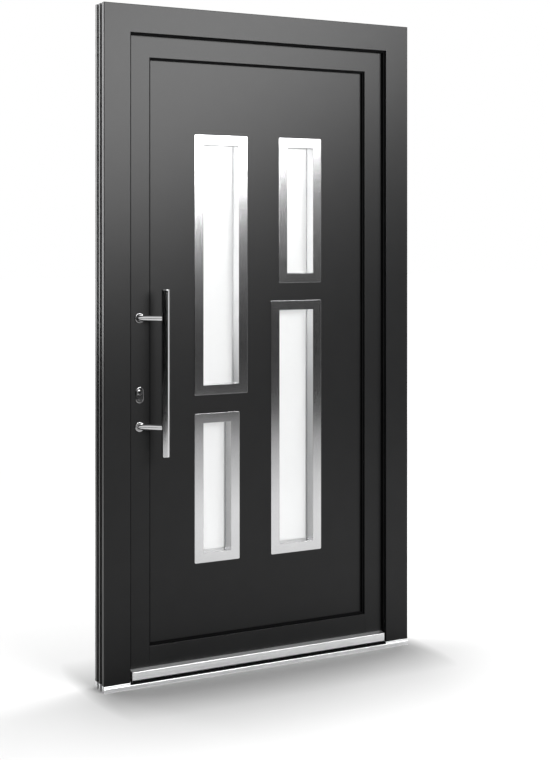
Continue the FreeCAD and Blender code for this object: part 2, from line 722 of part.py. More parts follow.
def place(item, x, y, z, axis, angle):
    """Places a primitive by expressions, turned by an angle in degrees about an axis."""
    item.Placement = FreeCAD.Placement(FreeCAD.Vector(), FreeCAD.Rotation(axis, number(angle)))
    for letter, text in (("x", x), ("y", y), ("z", z)):
        item.setExpression(f"Placement.Base.{letter}", bound(text))


def oval(sketch, x, low, high, radius):
    """An upright oval with straight sides between two heights of its half circles' centres."""
    x_value, low_value, high_value, r = number(x), number(low), number(high), number(radius)
    normal = FreeCAD.Vector(0, 0, 1)
    sideways = FreeCAD.Vector(r, 0, 0)
    upper, lower = FreeCAD.Vector(x_value, high_value, 0), FreeCAD.Vector(x_value, low_value, 0)
    top = Part.ArcOfCircle(Part.Circle(upper, normal, r), 0, math.pi)
    bottom = Part.ArcOfCircle(Part.Circle(lower, normal, r), math.pi, 2*math.pi)
    left = Part.LineSegment(upper - sideways, lower - sideways)
    right = Part.LineSegment(lower + sideways, upper + sideways)
    arc_top, line_left, arc_bottom, line_right = (
        sketch.addGeometry(item, False) for item in (top, left, bottom, right))
    for first, end, second, start in ((arc_top, 2, line_left, 1), (line_left, 2, arc_bottom, 1),
                                      (arc_bottom, 2, line_right, 1), (line_right, 2, arc_top, 1)):
        sketch.addConstraint(Sketcher.Constraint("Tangent", first, end, second, start))
    for constraint, text in (
        (Sketcher.Constraint("DistanceX", -1, 1, arc_top, 3, x_value), x),
        (Sketcher.Constraint("DistanceY", -1, 1, arc_top, 3, high_value), high),
        (Sketcher.Constraint("DistanceY", -1, 1, arc_bottom, 3, low_value), low),
        (Sketcher.Constraint("Radius", arc_top, r), radius),
        (Sketcher.Constraint("DistanceX", -1, 1, arc_bottom, 3, x_value), x),
    ):
        tie = sketch.addConstraint(constraint)
        sketch.setExpression(f"Constraints[{tie}]", bound(text))


def cylinder_outline(body, name, offset, grow):
    """Pads or holes of the profile cylinder's two outlines, each grown by `grow`."""
    low = "cylinder_mid + cylinder_dia/2 - cylinder_tall + cylinder_tail/2"
    head = new_sketch(body, f"{name}_head", "XZ_Plane", offset)
    add_circle(head, across("left", "lock_line"), "cylinder_mid", f"cylinder_dia/2 + {grow}")
    tail = new_sketch(body, f"{name}_tail", "XZ_Plane", offset)
    oval(tail, across("left", "lock_line"), low, "cylinder_mid", f"cylinder_tail/2 + {grow}")
    return head, tail


def lock():
    """The ends of the profile cylinder, its oval rose and the long faceplate in the leaf's edge."""
    x = across("left", "lock_line")
    face = f"-({back('leaf_back')})"
    cylinder = new_body("lock_cylinder")
    for sketch in cylinder_outline(cylinder, "outside", face, "0"):
        extrude(cylinder, sketch, "cylinder_out")
    inside_end = f"-({back('leaf_inside + plate_thick + turn_out')})"
    for sketch in cylinder_outline(cylinder, "inside", inside_end, "0"):
        extrude(cylinder, sketch, "plate_thick + turn_out")

    middle = "cylinder_mid + cylinder_dia/2 - cylinder_tall/2"
    rose = new_body("lock_rose")
    outline = new_sketch(rose, "outline", "XZ_Plane", face)
    reach = "(rose_tall - rose_wide)/2"
    oval(outline, x, f"{middle} - {reach}", f"{middle} + {reach}", "rose_wide/2")
    extrude(rose, outline, "rose_thick")
    for sketch in cylinder_outline(rose, "hole", f"{face} + rose_thick", "fit_gap"):
        extrude(rose, sketch, "rose_thick", "PartDesign::Pocket")

    plate = new_body("lock_faceplate")
    loop = rectangle(across("left", "leaf_edge"), across("left", "leaf_edge + break_recess"),
                     "lock_plate_foot", "lock_plate_foot + lock_plate_tall")
    front_pad(plate, "plate", [loop], "lock_back - lock_plate_wide/2", "lock_back + lock_plate_wide/2")


def inside_handle():
    """The long plate and lever on the leaf's inside."""
    x = across("left", "lock_line")
    plate = new_body("inside_handle_plate")
    middle = "(lever_high + cylinder_mid)/2"
    reach = "plate_tall/2 - plate_wide/2"
    top_face = f"-({back('leaf_inside + plate_thick')})"
    outline = new_sketch(plate, "outline", "XZ_Plane", top_face)
    oval(outline, x, f"{middle} - ({reach})", f"{middle} + ({reach})", "plate_wide/2")
    extrude(plate, outline, "plate_thick")
    for sketch in cylinder_outline(plate, "hole", f"-({back('leaf_inside')})", "fit_gap"):
        before = plate.Shape.Volume
        extrude(plate, sketch, "plate_thick", "PartDesign::Pocket")
        if plate.Shape.Volume >= before:
            raise ValueError("the cylinder's hole in the inside plate takes nothing away")

    lever = new_body("inside_lever")
    neck = new_sketch(lever, "neck", "XZ_Plane", f"-({back('leaf_inside + lever_out')})")
    add_circle(neck, x, "lever_high", "lever_dia/2")
    extrude(lever, neck, "lever_out - plate_thick")
    grip = new_sketch(lever, "grip", "YZ_Plane", f"{x} - lever_dia/2")
    add_circle(grip, back("leaf_inside + lever_out"), "lever_high", "lever_dia/2")
    extrude(lever, grip, "lever_long")


# Hinges

def hinge_heights():
    """The height of each hinge's middle."""
    return [f"hinge_low + {index}*hinge_step" for index in range(HINGE_COUNT)]


def hinges():
    """Three barrel hinges on the inside: frame halves with their pins, and leaf halves."""
    axis_x, axis_y = across("right", "hinge_side"), back("barrel_back")
    frame_half = new_body("hinge_frame_halves")
    for index, middle in enumerate(hinge_heights()):
        foot = f"{middle} - hinge_tall/2"
        plate_right = across("right", "hinge_side + barrel_dia/4 - hinge_plate_wide")
        plate = [(across("right", "hinge_side + barrel_dia/4"), back("frame_deep")),
                 (plate_right, back("frame_deep")),
                 (plate_right, back("frame_deep + hinge_plate_thick")),
                 (across("right", "hinge_side + barrel_dia/4"), back("frame_deep + hinge_plate_thick"))]
        upright_pad(frame_half, f"plate_{index}", [plate], foot, "hinge_tall")
        for end, low in (("low", foot), ("high", f"{middle} + knuckle_tall/2 + knuckle_gap")):
            tall = "hinge_tall/2 - knuckle_tall/2 - knuckle_gap"
            arm_right = across("right", "hinge_side + barrel_dia/4 - hinge_arm_wide")
            arm = [(across("right", "hinge_side + barrel_dia/4"), back("frame_deep + hinge_plate_thick")),
                   (arm_right, back("frame_deep + hinge_plate_thick")),
                   (arm_right, back("barrel_back")),
                   (across("right", "hinge_side + barrel_dia/4"), back("barrel_back"))]
            upright_pad(frame_half, f"arm_{end}_{index}", [arm], low, tall)
            barrel = new_sketch(frame_half, f"barrel_{end}_{index}", "XY_Plane", low)
            add_circle(barrel, axis_x, axis_y, "barrel_dia/2")
            extrude(frame_half, barrel, tall)
        pin = new_sketch(frame_half, f"pin_{index}", "XY_Plane", foot)
        add_circle(pin, axis_x, axis_y, "pin_dia/2")
        extrude(frame_half, pin, "hinge_tall")

    leaf_half = new_body("hinge_leaf_halves")
    plate_start = across("right", "flange_edge + leaf_plate_edge")
    plate_end = across("right", "flange_edge + leaf_plate_edge + leaf_plate_wide")
    near, far = back("leaf_inside"), back("leaf_inside + hinge_plate_thick")
    for index, middle in enumerate(hinge_heights()):
        plate = [(plate_end, near), (plate_start, near), (plate_start, far), (plate_end, far)]
        upright_pad(leaf_half, f"plate_{index}", [plate], f"{middle} - hinge_tall/2", "hinge_tall")
        low = f"{middle} - knuckle_tall/2"
        arm = [(plate_start, near), (axis_x, near), (axis_x, far), (plate_start, far)]
        upright_pad(leaf_half, f"arm_{index}", [arm], low, "knuckle_tall")
        barrel = new_sketch(leaf_half, f"barrel_{index}", "XY_Plane", low)
        add_circle(barrel, axis_x, axis_y, "barrel_dia/2")
        extrude(leaf_half, barrel, "knuckle_tall")
        bore = new_sketch(leaf_half, f"bore_{index}", "XY_Plane", f"{low} + knuckle_tall")
        add_circle(bore, axis_x, axis_y, "pin_dia/2 + pin_clear")
        before = leaf_half.Shape.Volume
        extrude(leaf_half, bore, "knuckle_tall", "PartDesign::Pocket")
        if leaf_half.Shape.Volume >= before:
            raise ValueError("the bore of a hinge knuckle takes nothing away")


frame_shells()
frame_breaks()
frame_ribs()
threshold()
stop_seal()
strike_plates()
leaf_outer_shells()
leaf_inner_shells()
leaf_breaks()
leaf_seals()
infill_panel()
glazing()
window_trims()
inner_trims()
glass()
weather_bar()
pull_handle()
lock()
inside_handle()
hinges()
doc.recompute()

# Nothing is written unless every object and shape is sound.
for item in doc.Objects:
    if "Invalid" in item.State or "Error" in item.State:
        raise ValueError(f"{item.Label} failed: {item.State}")
os.makedirs("parts", exist_ok=True)
for node in NODES:
    shape = node.Shape
    if shape.isNull() or not shape.isValid() or not shape.Solids:
        raise ValueError(f"{node.Label} has no sound shape")
    shape.exportStep(f"parts/{node.Label}.step")
    print(node.Label, len(shape.Solids), "solids", round(shape.Volume/1000, 1), "cm3")
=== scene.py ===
"""The looks of an anthracite aluminium front door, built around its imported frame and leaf."""
import logging
import math
from collections.abc import Callable, Iterable
from dataclasses import dataclass, field
from enum import Enum

import bmesh
import bpy
from mathutils import Matrix, Vector


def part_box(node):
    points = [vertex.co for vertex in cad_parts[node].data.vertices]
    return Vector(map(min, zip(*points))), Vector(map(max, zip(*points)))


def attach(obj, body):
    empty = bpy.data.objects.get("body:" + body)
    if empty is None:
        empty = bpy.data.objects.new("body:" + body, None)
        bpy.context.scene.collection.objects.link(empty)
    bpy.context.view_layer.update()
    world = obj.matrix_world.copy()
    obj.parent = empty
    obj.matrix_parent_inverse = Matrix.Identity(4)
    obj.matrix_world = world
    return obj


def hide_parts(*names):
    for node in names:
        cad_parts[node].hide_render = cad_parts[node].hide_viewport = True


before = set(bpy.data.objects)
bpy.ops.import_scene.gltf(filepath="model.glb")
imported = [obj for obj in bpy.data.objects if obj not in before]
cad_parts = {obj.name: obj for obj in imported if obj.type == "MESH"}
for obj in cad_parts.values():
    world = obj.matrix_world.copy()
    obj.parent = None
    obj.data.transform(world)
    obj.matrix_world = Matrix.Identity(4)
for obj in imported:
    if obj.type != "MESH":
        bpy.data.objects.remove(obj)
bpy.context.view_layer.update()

MM = 0.001
TOUCH = 1e-5
SHARP = math.radians(25)
CREASE = math.radians(40)
BOLT_HEIGHTS = (280*MM, 1000*MM, 1720*MM)

logging.basicConfig(level=logging.INFO, format="%(name)s: %(message)s")
log = logging.getLogger("front_door")

Point = tuple[float, float, float]
Colour = tuple[float, float, float]
Socket = bpy.types.NodeSocket
Value = Socket | float | tuple[float, ...]
Element = bmesh.types.BMVert | bmesh.types.BMEdge | bmesh.types.BMFace


class Carrier(Enum):
    """The two bodies that pieces ride on."""

    FRAME = "frame"
    LEAF = "leaf"


class Direction(Enum):
    """The three directions of the door: along its width, through its depth and up."""

    WIDTH = 0
    DEPTH = 1
    UP = 2


# Finishes

class Nodes:
    """The nodes of a material or a world."""

    def __init__(self, tree: bpy.types.NodeTree) -> None:
        """Starts with an emptied tree."""
        self.tree = tree
        self.tree.nodes.clear()

    def feed(self, socket: Socket, value: Value) -> None:
        """Links an output to a socket, or sets the socket.

        Args:
            socket: the socket.
            value: the output, or else a number, a vector or a colour.
        """
        if isinstance(value, Socket):
            self.tree.links.new(value, socket)
        else:
            socket.default_value = value

    def add(self, kind: str, inputs: dict[str | int, Value] | None = None,
            **settings: object) -> bpy.types.Node:
        """Adds a node.

        Args:
            kind: the node's type.
            inputs: what its sockets get, by their names or places.
            settings: properties of the node itself.

        Returns:
            The new node.
        """
        node = self.tree.nodes.new(kind)
        for name, setting in settings.items():
            setattr(node, name, setting)
        for name, value in (inputs or {}).items():
            self.feed(node.inputs[name], value)
        return node

    def combine(self, operation: str, first: Value, second: Value = 0.0, clamp: bool = False) -> Socket:
        """Works out a sum, a product or the like.

        Args:
            operation: the name of the operation.
            first: its first value.
            second: its second value.
            clamp: whether the result is kept between zero and one.

        Returns:
            The result.
        """
        node = self.add("ShaderNodeMath", {0: first, 1: second}, operation=operation, use_clamp=clamp)
        return node.outputs[0]

    def seen(self) -> Socket:
        """Picks out the rays that show the surroundings.

        Returns:
            One for rays from the camera, from gloss and through glass, and zero for the others.
        """
        path = self.add("ShaderNodeLightPath")
        total = path.outputs["Is Camera Ray"]
        for name in ("Is Glossy Ray", "Is Transmission Ray"):
            total = self.combine("ADD", total, path.outputs[name], clamp=True)
        return total


class Graph(Nodes):
    """The nodes of one material, with a Principled shader at their end."""

    def __init__(self, name: str) -> None:
        """Starts a material with nothing but its shader.

        Args:
            name: the material's name.
        """
        self.material = bpy.data.materials.new(name)
        self.material.use_nodes = True
        super().__init__(self.material.node_tree)
        self.shader = self.add("ShaderNodeBsdfPrincipled")
        self.add("ShaderNodeOutputMaterial", {"Surface": self.shader.outputs["BSDF"]})

    def shade(self, values: dict[str, Value]) -> None:
        """Gives sockets of the shader their values, by their names."""
        for name, value in values.items():
            self.feed(self.shader.inputs[name], value)

    def place(self, scale: Point = (1, 1, 1)) -> Socket:
        """Gives the object's own coordinates.

        Args:
            scale: how much they are stretched along X, Y and Z.

        Returns:
            The coordinates in metres, times the scale.
        """
        source = self.add("ShaderNodeTexCoord")
        mapping = self.add("ShaderNodeMapping", {"Scale": scale, "Vector": source.outputs["Object"]})
        return mapping.outputs["Vector"]

    def length(self, vector: Socket) -> Socket:
        """The length of a vector."""
        return self.add("ShaderNodeVectorMath", {0: vector}, operation="LENGTH").outputs["Value"]

    def noise(self, scale: float, detail: float = 2.0, stretch: Point = (1, 1, 1),
              harshness: float = 0.5) -> Socket:
        """A noise pattern.

        Args:
            scale: how many waves there are in a metre.
            detail: how many finer layers it has.
            stretch: how much denser it is along X, Y and Z.
            harshness: how strong the finer layers are.

        Returns:
            The pattern's value, about 0 to 1.
        """
        node = self.add("ShaderNodeTexNoise", {"Scale": scale, "Detail": detail, "Roughness": harshness,
                                               "Vector": self.place(stretch)})
        return node.outputs["Fac"]

    def spread(self, value: Socket, low: float, high: float, start: float = 0.3, end: float = 0.7) -> Socket:
        """Maps one range of a pattern to another.

        Args:
            value: the pattern.
            low: what its start becomes.
            high: what its end becomes.
            start: where its range starts.
            end: where its range ends.

        Returns:
            The mapped value, which stays between low and high.
        """
        node = self.add("ShaderNodeMapRange", {"Value": value, "From Min": start, "From Max": end,
                                               "To Min": low, "To Max": high})
        return node.outputs["Result"]

    def blend(self, value: Socket, first: Colour, second: Colour) -> Socket:
        """Mixes two colours.

        Args:
            value: the pattern that chooses between them.
            first: the colour at zero.
            second: the colour at one.

        Returns:
            The mixed colour.
        """
        node = self.add("ShaderNodeMix", {"Factor": value, "A": (*first, 1.0), "B": (*second, 1.0)},
                        data_type="RGBA")
        return node.outputs["Result"]

    def relief(self, height: Socket, depth: float, strength: float, below: Socket | None = None) -> Socket:
        """A bump.

        Args:
            height: the pattern that is raised.
            depth: its height in metres.
            strength: how much of it shows.
            below: the normal of a coarser bump under it.

        Returns:
            The bumped normal.
        """
        node = self.add("ShaderNodeBump", {"Height": height, "Distance": depth, "Strength": strength})
        if below is not None:
            self.feed(node.inputs["Normal"], below)
        return node.outputs["Normal"]


@dataclass(frozen=True)
class Finish:
    """A plain finish. The kinds of finish below add their own patterns."""

    name: str
    slot: str
    colour: Colour
    roughness: float
    metallic: float = 0.0
    specular: float = 0.5

    def material(self) -> bpy.types.Material:
        """Makes the finish's material, once.

        Returns:
            The material.
        """
        made = bpy.data.materials.get(self.name)
        if made is not None:
            return made
        graph = Graph(self.name)
        graph.shade({"Base Color": (*self.colour, 1.0), "Roughness": self.roughness,
                     "Metallic": self.metallic, "Specular IOR Level": self.specular})
        self.pattern(graph)
        return graph.material

    def pattern(self, graph: Graph) -> None:
        """Adds what a plain colour lacks."""

    def mottle(self, graph: Graph, pattern: Socket, darker: float, lighter: float,
               start: float = 0.3, end: float = 0.7) -> None:
        """Varies the colour.

        Args:
            graph: the material's graph.
            pattern: the pattern to follow.
            darker: the share by which the colour is darker where the pattern is low.
            lighter: the share by which it is lighter where the pattern is high.
            start: where the pattern's range starts.
            end: where the pattern's range ends.
        """
        shares = (1 - darker, 1 + lighter)
        low, high = (tuple(min(1.0, part*share) for part in self.colour) for share in shares)
        graph.shade({"Base Color": graph.blend(graph.spread(pattern, 0, 1, start, end), low, high)})

    def vary(self, graph: Graph, pattern: Socket, down: float, up: float) -> None:
        """Varies the roughness by a pattern, from a step below its value to a step above."""
        graph.shade({"Roughness": graph.spread(pattern, self.roughness - down, self.roughness + up)})


@dataclass(frozen=True)
class PowderCoat(Finish):
    """Fine-textured matt powder coat: tiny rounded grains under a faint cloudy variation."""

    grains_per_metre: float = 900.0
    grain_height: float = 0.06*MM
    clouds_per_metre: float = 14.0
    cloud_share: float = 0.10

    def pattern(self, graph: Graph) -> None:
        """Adds the grain, the soft orange peel and the clouds.

        Args:
            graph: the material's graph.
        """
        self.mottle(graph, graph.noise(self.clouds_per_metre, 4), self.cloud_share, self.cloud_share)
        self.vary(graph, graph.noise(self.grains_per_metre/3, 3), 0.02, 0.03)
        peel = graph.relief(graph.noise(self.grains_per_metre/8, 2), self.grain_height*2, 0.25)
        grain = graph.relief(graph.noise(self.grains_per_metre, 2), self.grain_height, 0.35, peel)
        graph.shade({"Normal": grain})


@dataclass(frozen=True)
class BrushedMetal(Finish):
    """Brushed or satin metal with fine scratches along one direction."""

    along: Direction = Direction.UP
    scratches_per_metre: float = 1600.0
    scratch_length: float = 60.0
    depth: float = 0.01*MM
    tones_per_metre: float = 9.0
    anisotropic: float = 0.5

    def pattern(self, graph: Graph) -> None:
        """Adds the scratches to the roughness, the colour and the relief.

        Args:
            graph: the material's graph.
        """
        stretch = [1.0, 1.0, 1.0]
        stretch[self.along.value] = 1/self.scratch_length
        scratches = graph.noise(self.scratches_per_metre, 3, tuple(stretch), 0.65)
        self.mottle(graph, graph.noise(self.tones_per_metre, 3), 0.04, 0.03)
        self.vary(graph, scratches, 0.03, 0.04)
        tangent = graph.add("ShaderNodeTangent", direction_type="RADIAL", axis="XYZ"[self.along.value])
        graph.shade({"Anisotropic": self.anisotropic, "Tangent": tangent.outputs["Tangent"],
                     "Normal": graph.relief(scratches, self.depth, 0.4)})


@dataclass(frozen=True)
class MillAluminium(Finish):
    """Natural anodised aluminium with the faint lines of its die along the profile."""

    lines_per_metre: float = 420.0
    line_length: float = 250.0
    line_depth: float = 0.03*MM
    blooms_per_metre: float = 18.0

    def pattern(self, graph: Graph) -> None:
        """Adds the die lines and a soft bloom.

        Args:
            graph: the material's graph.
        """
        lines = graph.noise(self.lines_per_metre, 3, (1/self.line_length, 1, 1), 0.6)
        self.mottle(graph, graph.noise(self.blooms_per_metre, 4), 0.06, 0.03)
        self.vary(graph, lines, 0.05, 0.06)
        graph.shade({"Normal": graph.relief(lines, self.line_depth, 0.3)})


@dataclass(frozen=True)
class Elastomer(Finish):
    """Black rubber or polyamide with a dull grain and a pale bloom."""

    grain_per_metre: float = 700.0
    grain_height: float = 0.05*MM
    smears_per_metre: float = 120.0
    blooms_per_metre: float = 25.0
    bloom_share: float = 0.5

    def pattern(self, graph: Graph) -> None:
        """Adds the grain and the bloom.

        Args:
            graph: the material's graph.
        """
        self.mottle(graph, graph.noise(self.blooms_per_metre, 4), 0, self.bloom_share)
        self.vary(graph, graph.noise(self.smears_per_metre, 3), 0.06, 0.06)
        grain = graph.noise(self.grain_per_metre, 2)
        graph.shade({"Normal": graph.relief(grain, self.grain_height, 0.3)})


@dataclass(frozen=True)
class Foam(Finish):
    """The cut edge of an insulating core: small open cells."""

    cells_per_metre: float = 600.0
    cell_depth: float = 0.4*MM

    def pattern(self, graph: Graph) -> None:
        """Adds the cells.

        Args:
            graph: the material's graph.
        """
        node = graph.add("ShaderNodeTexVoronoi", {"Scale": self.cells_per_metre, "Vector": graph.place()})
        cells = node.outputs["Distance"]
        self.mottle(graph, cells, 0.3, 0, 0, 0.8)
        graph.shade({"Normal": graph.relief(cells, self.cell_depth, 0.6)})


@dataclass(frozen=True)
class SatinGlass(Finish):
    """White satin glass: an etched face through which plain white light comes."""

    see_through: float = 0.8
    coat: float = 0.08
    coat_roughness: float = 0.35
    frost_per_metre: float = 1500.0
    frost_depth: float = 0.02*MM
    films_per_metre: float = 5.0

    def pattern(self, graph: Graph) -> None:
        """Adds the etching's fine frost.

        Args:
            graph: the material's graph.
        """
        frost = graph.noise(self.frost_per_metre, 2)
        self.mottle(graph, graph.noise(self.films_per_metre, 3), 0.015, 0)
        self.vary(graph, frost, 0.04, 0.04)
        graph.shade({"Normal": graph.relief(frost, self.frost_depth, 0.2), "Coat Weight": self.coat,
                     "Coat Roughness": self.coat_roughness, "Transmission Weight": self.see_through})


COAT = PowderCoat("anthracite_powder_coat", "coated_aluminium", (0.0060, 0.0061, 0.0063), 0.325,
                  specular=0.21)
STEEL_UPRIGHT = BrushedMetal("brushed_steel_upright", "brushed_steel", (0.48, 0.48, 0.485), 0.17, 1.0)
SATIN_STEEL = BrushedMetal("satin_stainless", "satin_steel", (0.58, 0.58, 0.585), 0.1, 1.0, anisotropic=0.0)
SATIN_STEEL_LEVEL = BrushedMetal("satin_stainless_level", "satin_steel", (0.58, 0.58, 0.585), 0.1, 1.0,
                                 along=Direction.WIDTH, anisotropic=0.0)
ALUMINIUM = MillAluminium("anodised_aluminium", "mill_aluminium", (0.90, 0.905, 0.91), 0.4, 1.0)
RUBBER = Elastomer("black_seal_rubber", "black_rubber", (0.003, 0.003, 0.0032), 0.6, specular=0.02)
POLYAMIDE = Elastomer("dull_polyamide", "black_polyamide", (0.003, 0.003, 0.0032), 0.55, specular=0.03,
                      bloom_share=0.3)
FOAM = Foam("insulating_foam", "insulation", (0.75, 0.72, 0.62), 0.9, specular=0.2)
GLASS = SatinGlass("white_satin_glass", "satin_glass", (0.82, 0.825, 0.825), 0.32, specular=0.25)
# painted shade: black for the keyholes, the screw recesses and the bolt slits, standing in for the shade
# inside them
RECESS_SHADE = Elastomer("keyway_shadow", "black_polyamide", (0.004, 0.004, 0.004), 0.7, specular=0.1,
                   bloom_share=0.3)


# Shapes

class Shell:
    """One closed solid, shaped with mesh operators, in metres."""

    def __init__(self) -> None:
        """Starts with an empty mesh."""
        self.mesh = bmesh.new()

    @classmethod
    def box(cls, low: Point, high: Point) -> "Shell":
        """A box.

        Args:
            low: its lowest corner.
            high: its highest corner.

        Returns:
            The box's shell.
        """
        shell = cls()
        low, high = Vector(low), Vector(high)
        size = Matrix.Diagonal((*(high - low), 1.0))
        bmesh.ops.create_cube(shell.mesh, size=1.0, matrix=Matrix.Translation((low + high)/2) @ size)
        return shell

    @classmethod
    def round_bar(cls, start: Point, end: Point, radius: float, segments: int = 64) -> "Shell":
        """A cylinder.

        Args:
            start: the middle of its first end.
            end: the middle of its other end.
            radius: its radius.
            segments: the number of faces round it.

        Returns:
            The cylinder's shell.
        """
        shell = cls()
        start, end = Vector(start), Vector(end)
        turn = (end - start).to_track_quat("Z", "Y").to_matrix().to_4x4()
        bmesh.ops.create_cone(shell.mesh, cap_ends=True, segments=segments, radius1=radius, radius2=radius,
                              depth=(end - start).length, matrix=Matrix.Translation((start + end)/2) @ turn)
        return shell

    @classmethod
    def button(cls, seat: Point, crown: Point, radius: float, rim: float, steps: int,
               segments: int) -> "Shell":
        """A cylinder along one direction of the door, whose far rim is rounded.

        Args:
            seat: the middle of the end that it sits on.
            crown: the middle of its far end.
            radius: its radius.
            rim: the radius of the rounding.
            steps: the number of faces across the rounding.
            segments: the number of faces round it.

        Returns:
            The button's shell.
        """
        out = max(Direction, key=lambda direction: abs(crown[direction.value] - seat[direction.value]))
        shell = cls.round_bar(seat, crown, radius, segments)
        return shell.soften(shell.at(out, crown[out.value]), rim, steps)

    @classmethod
    def oval(cls, low: Point, high: Point, steps: int = 20) -> "Shell":
        """An upright plate across the depth with half-round ends.

        Args:
            low: the lowest corner of its box.
            high: the highest corner of its box.
            steps: the number of faces in a quarter turn.

        Returns:
            The plate's shell.
        """
        shell = cls.box(low, high)
        upright = shell.edges(lambda a, b: abs(a.x - b.x) < TOUCH and abs(a.z - b.z) < TOUCH)
        shell.soften(upright, (high[0] - low[0])/2 - TOUCH, steps)
        bmesh.ops.remove_doubles(shell.mesh, verts=list(shell.mesh.verts), dist=TOUCH*4)
        return shell

    @classmethod
    def bent_bar(cls, start: Point, bend: Point, end: Point, radius: float, curve: float,
                 segments: int = 40, steps: int = 14) -> "Shell":
        """A round bar with one bend of a right angle.

        Args:
            start: the middle of its first end.
            bend: where the two straight axes cross.
            end: the middle of its other end.
            radius: the bar's radius.
            curve: the radius of the bend's centre line.
            segments: the number of faces round the bar.
            steps: the number of steps in the bend.

        Returns:
            The bar's shell.
        """
        shell = cls()
        start, bend, end = Vector(start), Vector(bend), Vector(end)
        first, second = (bend - start).normalized(), (end - bend).normalized()
        turn = first.to_track_quat("Z", "Y").to_matrix().to_4x4()
        bmesh.ops.create_circle(shell.mesh, cap_ends=True, segments=segments, radius=radius,
                                matrix=Matrix.Translation(start) @ turn)
        shell.extrude([shell.end_face(first)[-1]], (bend - start) - first*curve)
        bmesh.ops.spin(shell.mesh, geom=shell.end_face(first), cent=bend - first*curve + second*curve,
                       axis=first.cross(second), angle=math.pi/2, steps=steps, use_merge=False,
                       use_duplicate=False)
        shell.extrude([shell.end_face(second)[-1]], (end - bend) - second*curve)
        inner = [face for face in shell.mesh.faces if all(len(edge.link_faces) > 2 for edge in face.edges)]
        bmesh.ops.delete(shell.mesh, geom=inner, context="FACES_ONLY")
        return shell

    def end_face(self, direction: Vector) -> list[Element]:
        """Finds the many-sided face that lies furthest along a direction.

        Args:
            direction: the direction.

        Returns:
            The face's corners and edges, and the face itself at the end.
        """
        caps = [face for face in self.mesh.faces if len(face.verts) > 4]
        cap = max(caps, key=lambda face: face.calc_center_median().dot(direction))
        return [*cap.verts, *cap.edges, cap]

    def extrude(self, faces: Iterable[bmesh.types.BMFace], run: Point) -> None:
        """Extrudes faces by a run.

        Args:
            faces: the faces.
            run: how far they move along each direction.
        """
        made = bmesh.ops.extrude_face_region(self.mesh, geom=list(faces))
        moved = [item for item in made["geom"] if isinstance(item, bmesh.types.BMVert)]
        bmesh.ops.translate(self.mesh, verts=moved, vec=Vector(run))

    @classmethod
    def profile(cls, outline: Iterable[Point], run: Point) -> "Shell":
        """A flat outline that is drawn along a straight run.

        Args:
            outline: the outline's corners in order.
            run: the run.

        Returns:
            The profile's shell.
        """
        shell = cls()
        shell.extrude([shell.mesh.faces.new([shell.mesh.verts.new(point) for point in outline])], run)
        return shell

    @classmethod
    def ring(cls, low: Point, high: Point, border: float, corner: float = 0.0, steps: int = 6) -> "Shell":
        """An upright rectangular ring with square inner corners.

        Args:
            low: the lowest corner of its box.
            high: the highest corner of its box.
            border: the width of its members.
            corner: the radius of its outer corners.
            steps: the number of edges in each rounded corner.

        Returns:
            The ring's shell.
        """
        shell = cls()
        mesh = shell.mesh
        corners = ((low[0], low[2]), (high[0], low[2]), (high[0], high[2]), (low[0], high[2]))
        face = mesh.faces.new([mesh.verts.new((x, low[1], z)) for x, z in corners])
        face.normal_update()
        bmesh.ops.inset_region(mesh, faces=[face], thickness=border, use_boundary=True, use_even_offset=True)
        bmesh.ops.delete(mesh, geom=[face], context="FACES_ONLY")
        shell.extrude(mesh.faces, (0, high[1] - low[1], 0))
        if corner > 0:
            upright = shell.edges(lambda a, b: abs(a.y - b.y) > TOUCH
                                  and min(a.x - low[0], high[0] - a.x) < TOUCH)
            shell.soften(upright, corner, steps)
        return shell

    def turn_out(self) -> None:
        """Makes every face point outwards."""
        bmesh.ops.recalc_face_normals(self.mesh, faces=list(self.mesh.faces))

    def edges(self, chosen: Callable[[Vector, Vector], bool]) -> list[bmesh.types.BMEdge]:
        """The edges whose two ends pass a test."""
        return [edge for edge in self.mesh.edges if chosen(edge.verts[0].co, edge.verts[1].co)]

    def at(self, direction: Direction, value: float) -> list[bmesh.types.BMEdge]:
        """Finds the sharp edges that lie in one plane.

        Args:
            direction: the direction across the plane.
            value: the plane's place along it.

        Returns:
            The edges.
        """
        index = direction.value
        flat = self.edges(lambda a, b: abs(a[index] - value) < TOUCH and abs(b[index] - value) < TOUCH)
        return [edge for edge in flat if edge.is_manifold and edge.calc_face_angle(0) > SHARP]

    def soften(self, edges: list[bmesh.types.BMEdge], width: float, segments: int = 3) -> "Shell":
        """Rounds the given edges.

        Args:
            edges: the edges to round.
            width: the radius in metres.
            segments: the number of faces across the rounding.

        Returns:
            The shell itself.
        """
        self.turn_out()
        bmesh.ops.bevel(self.mesh, geom=edges, offset=width, segments=segments, profile=0.5,
                        affect="EDGES", material=-1, clamp_overlap=True)
        return self


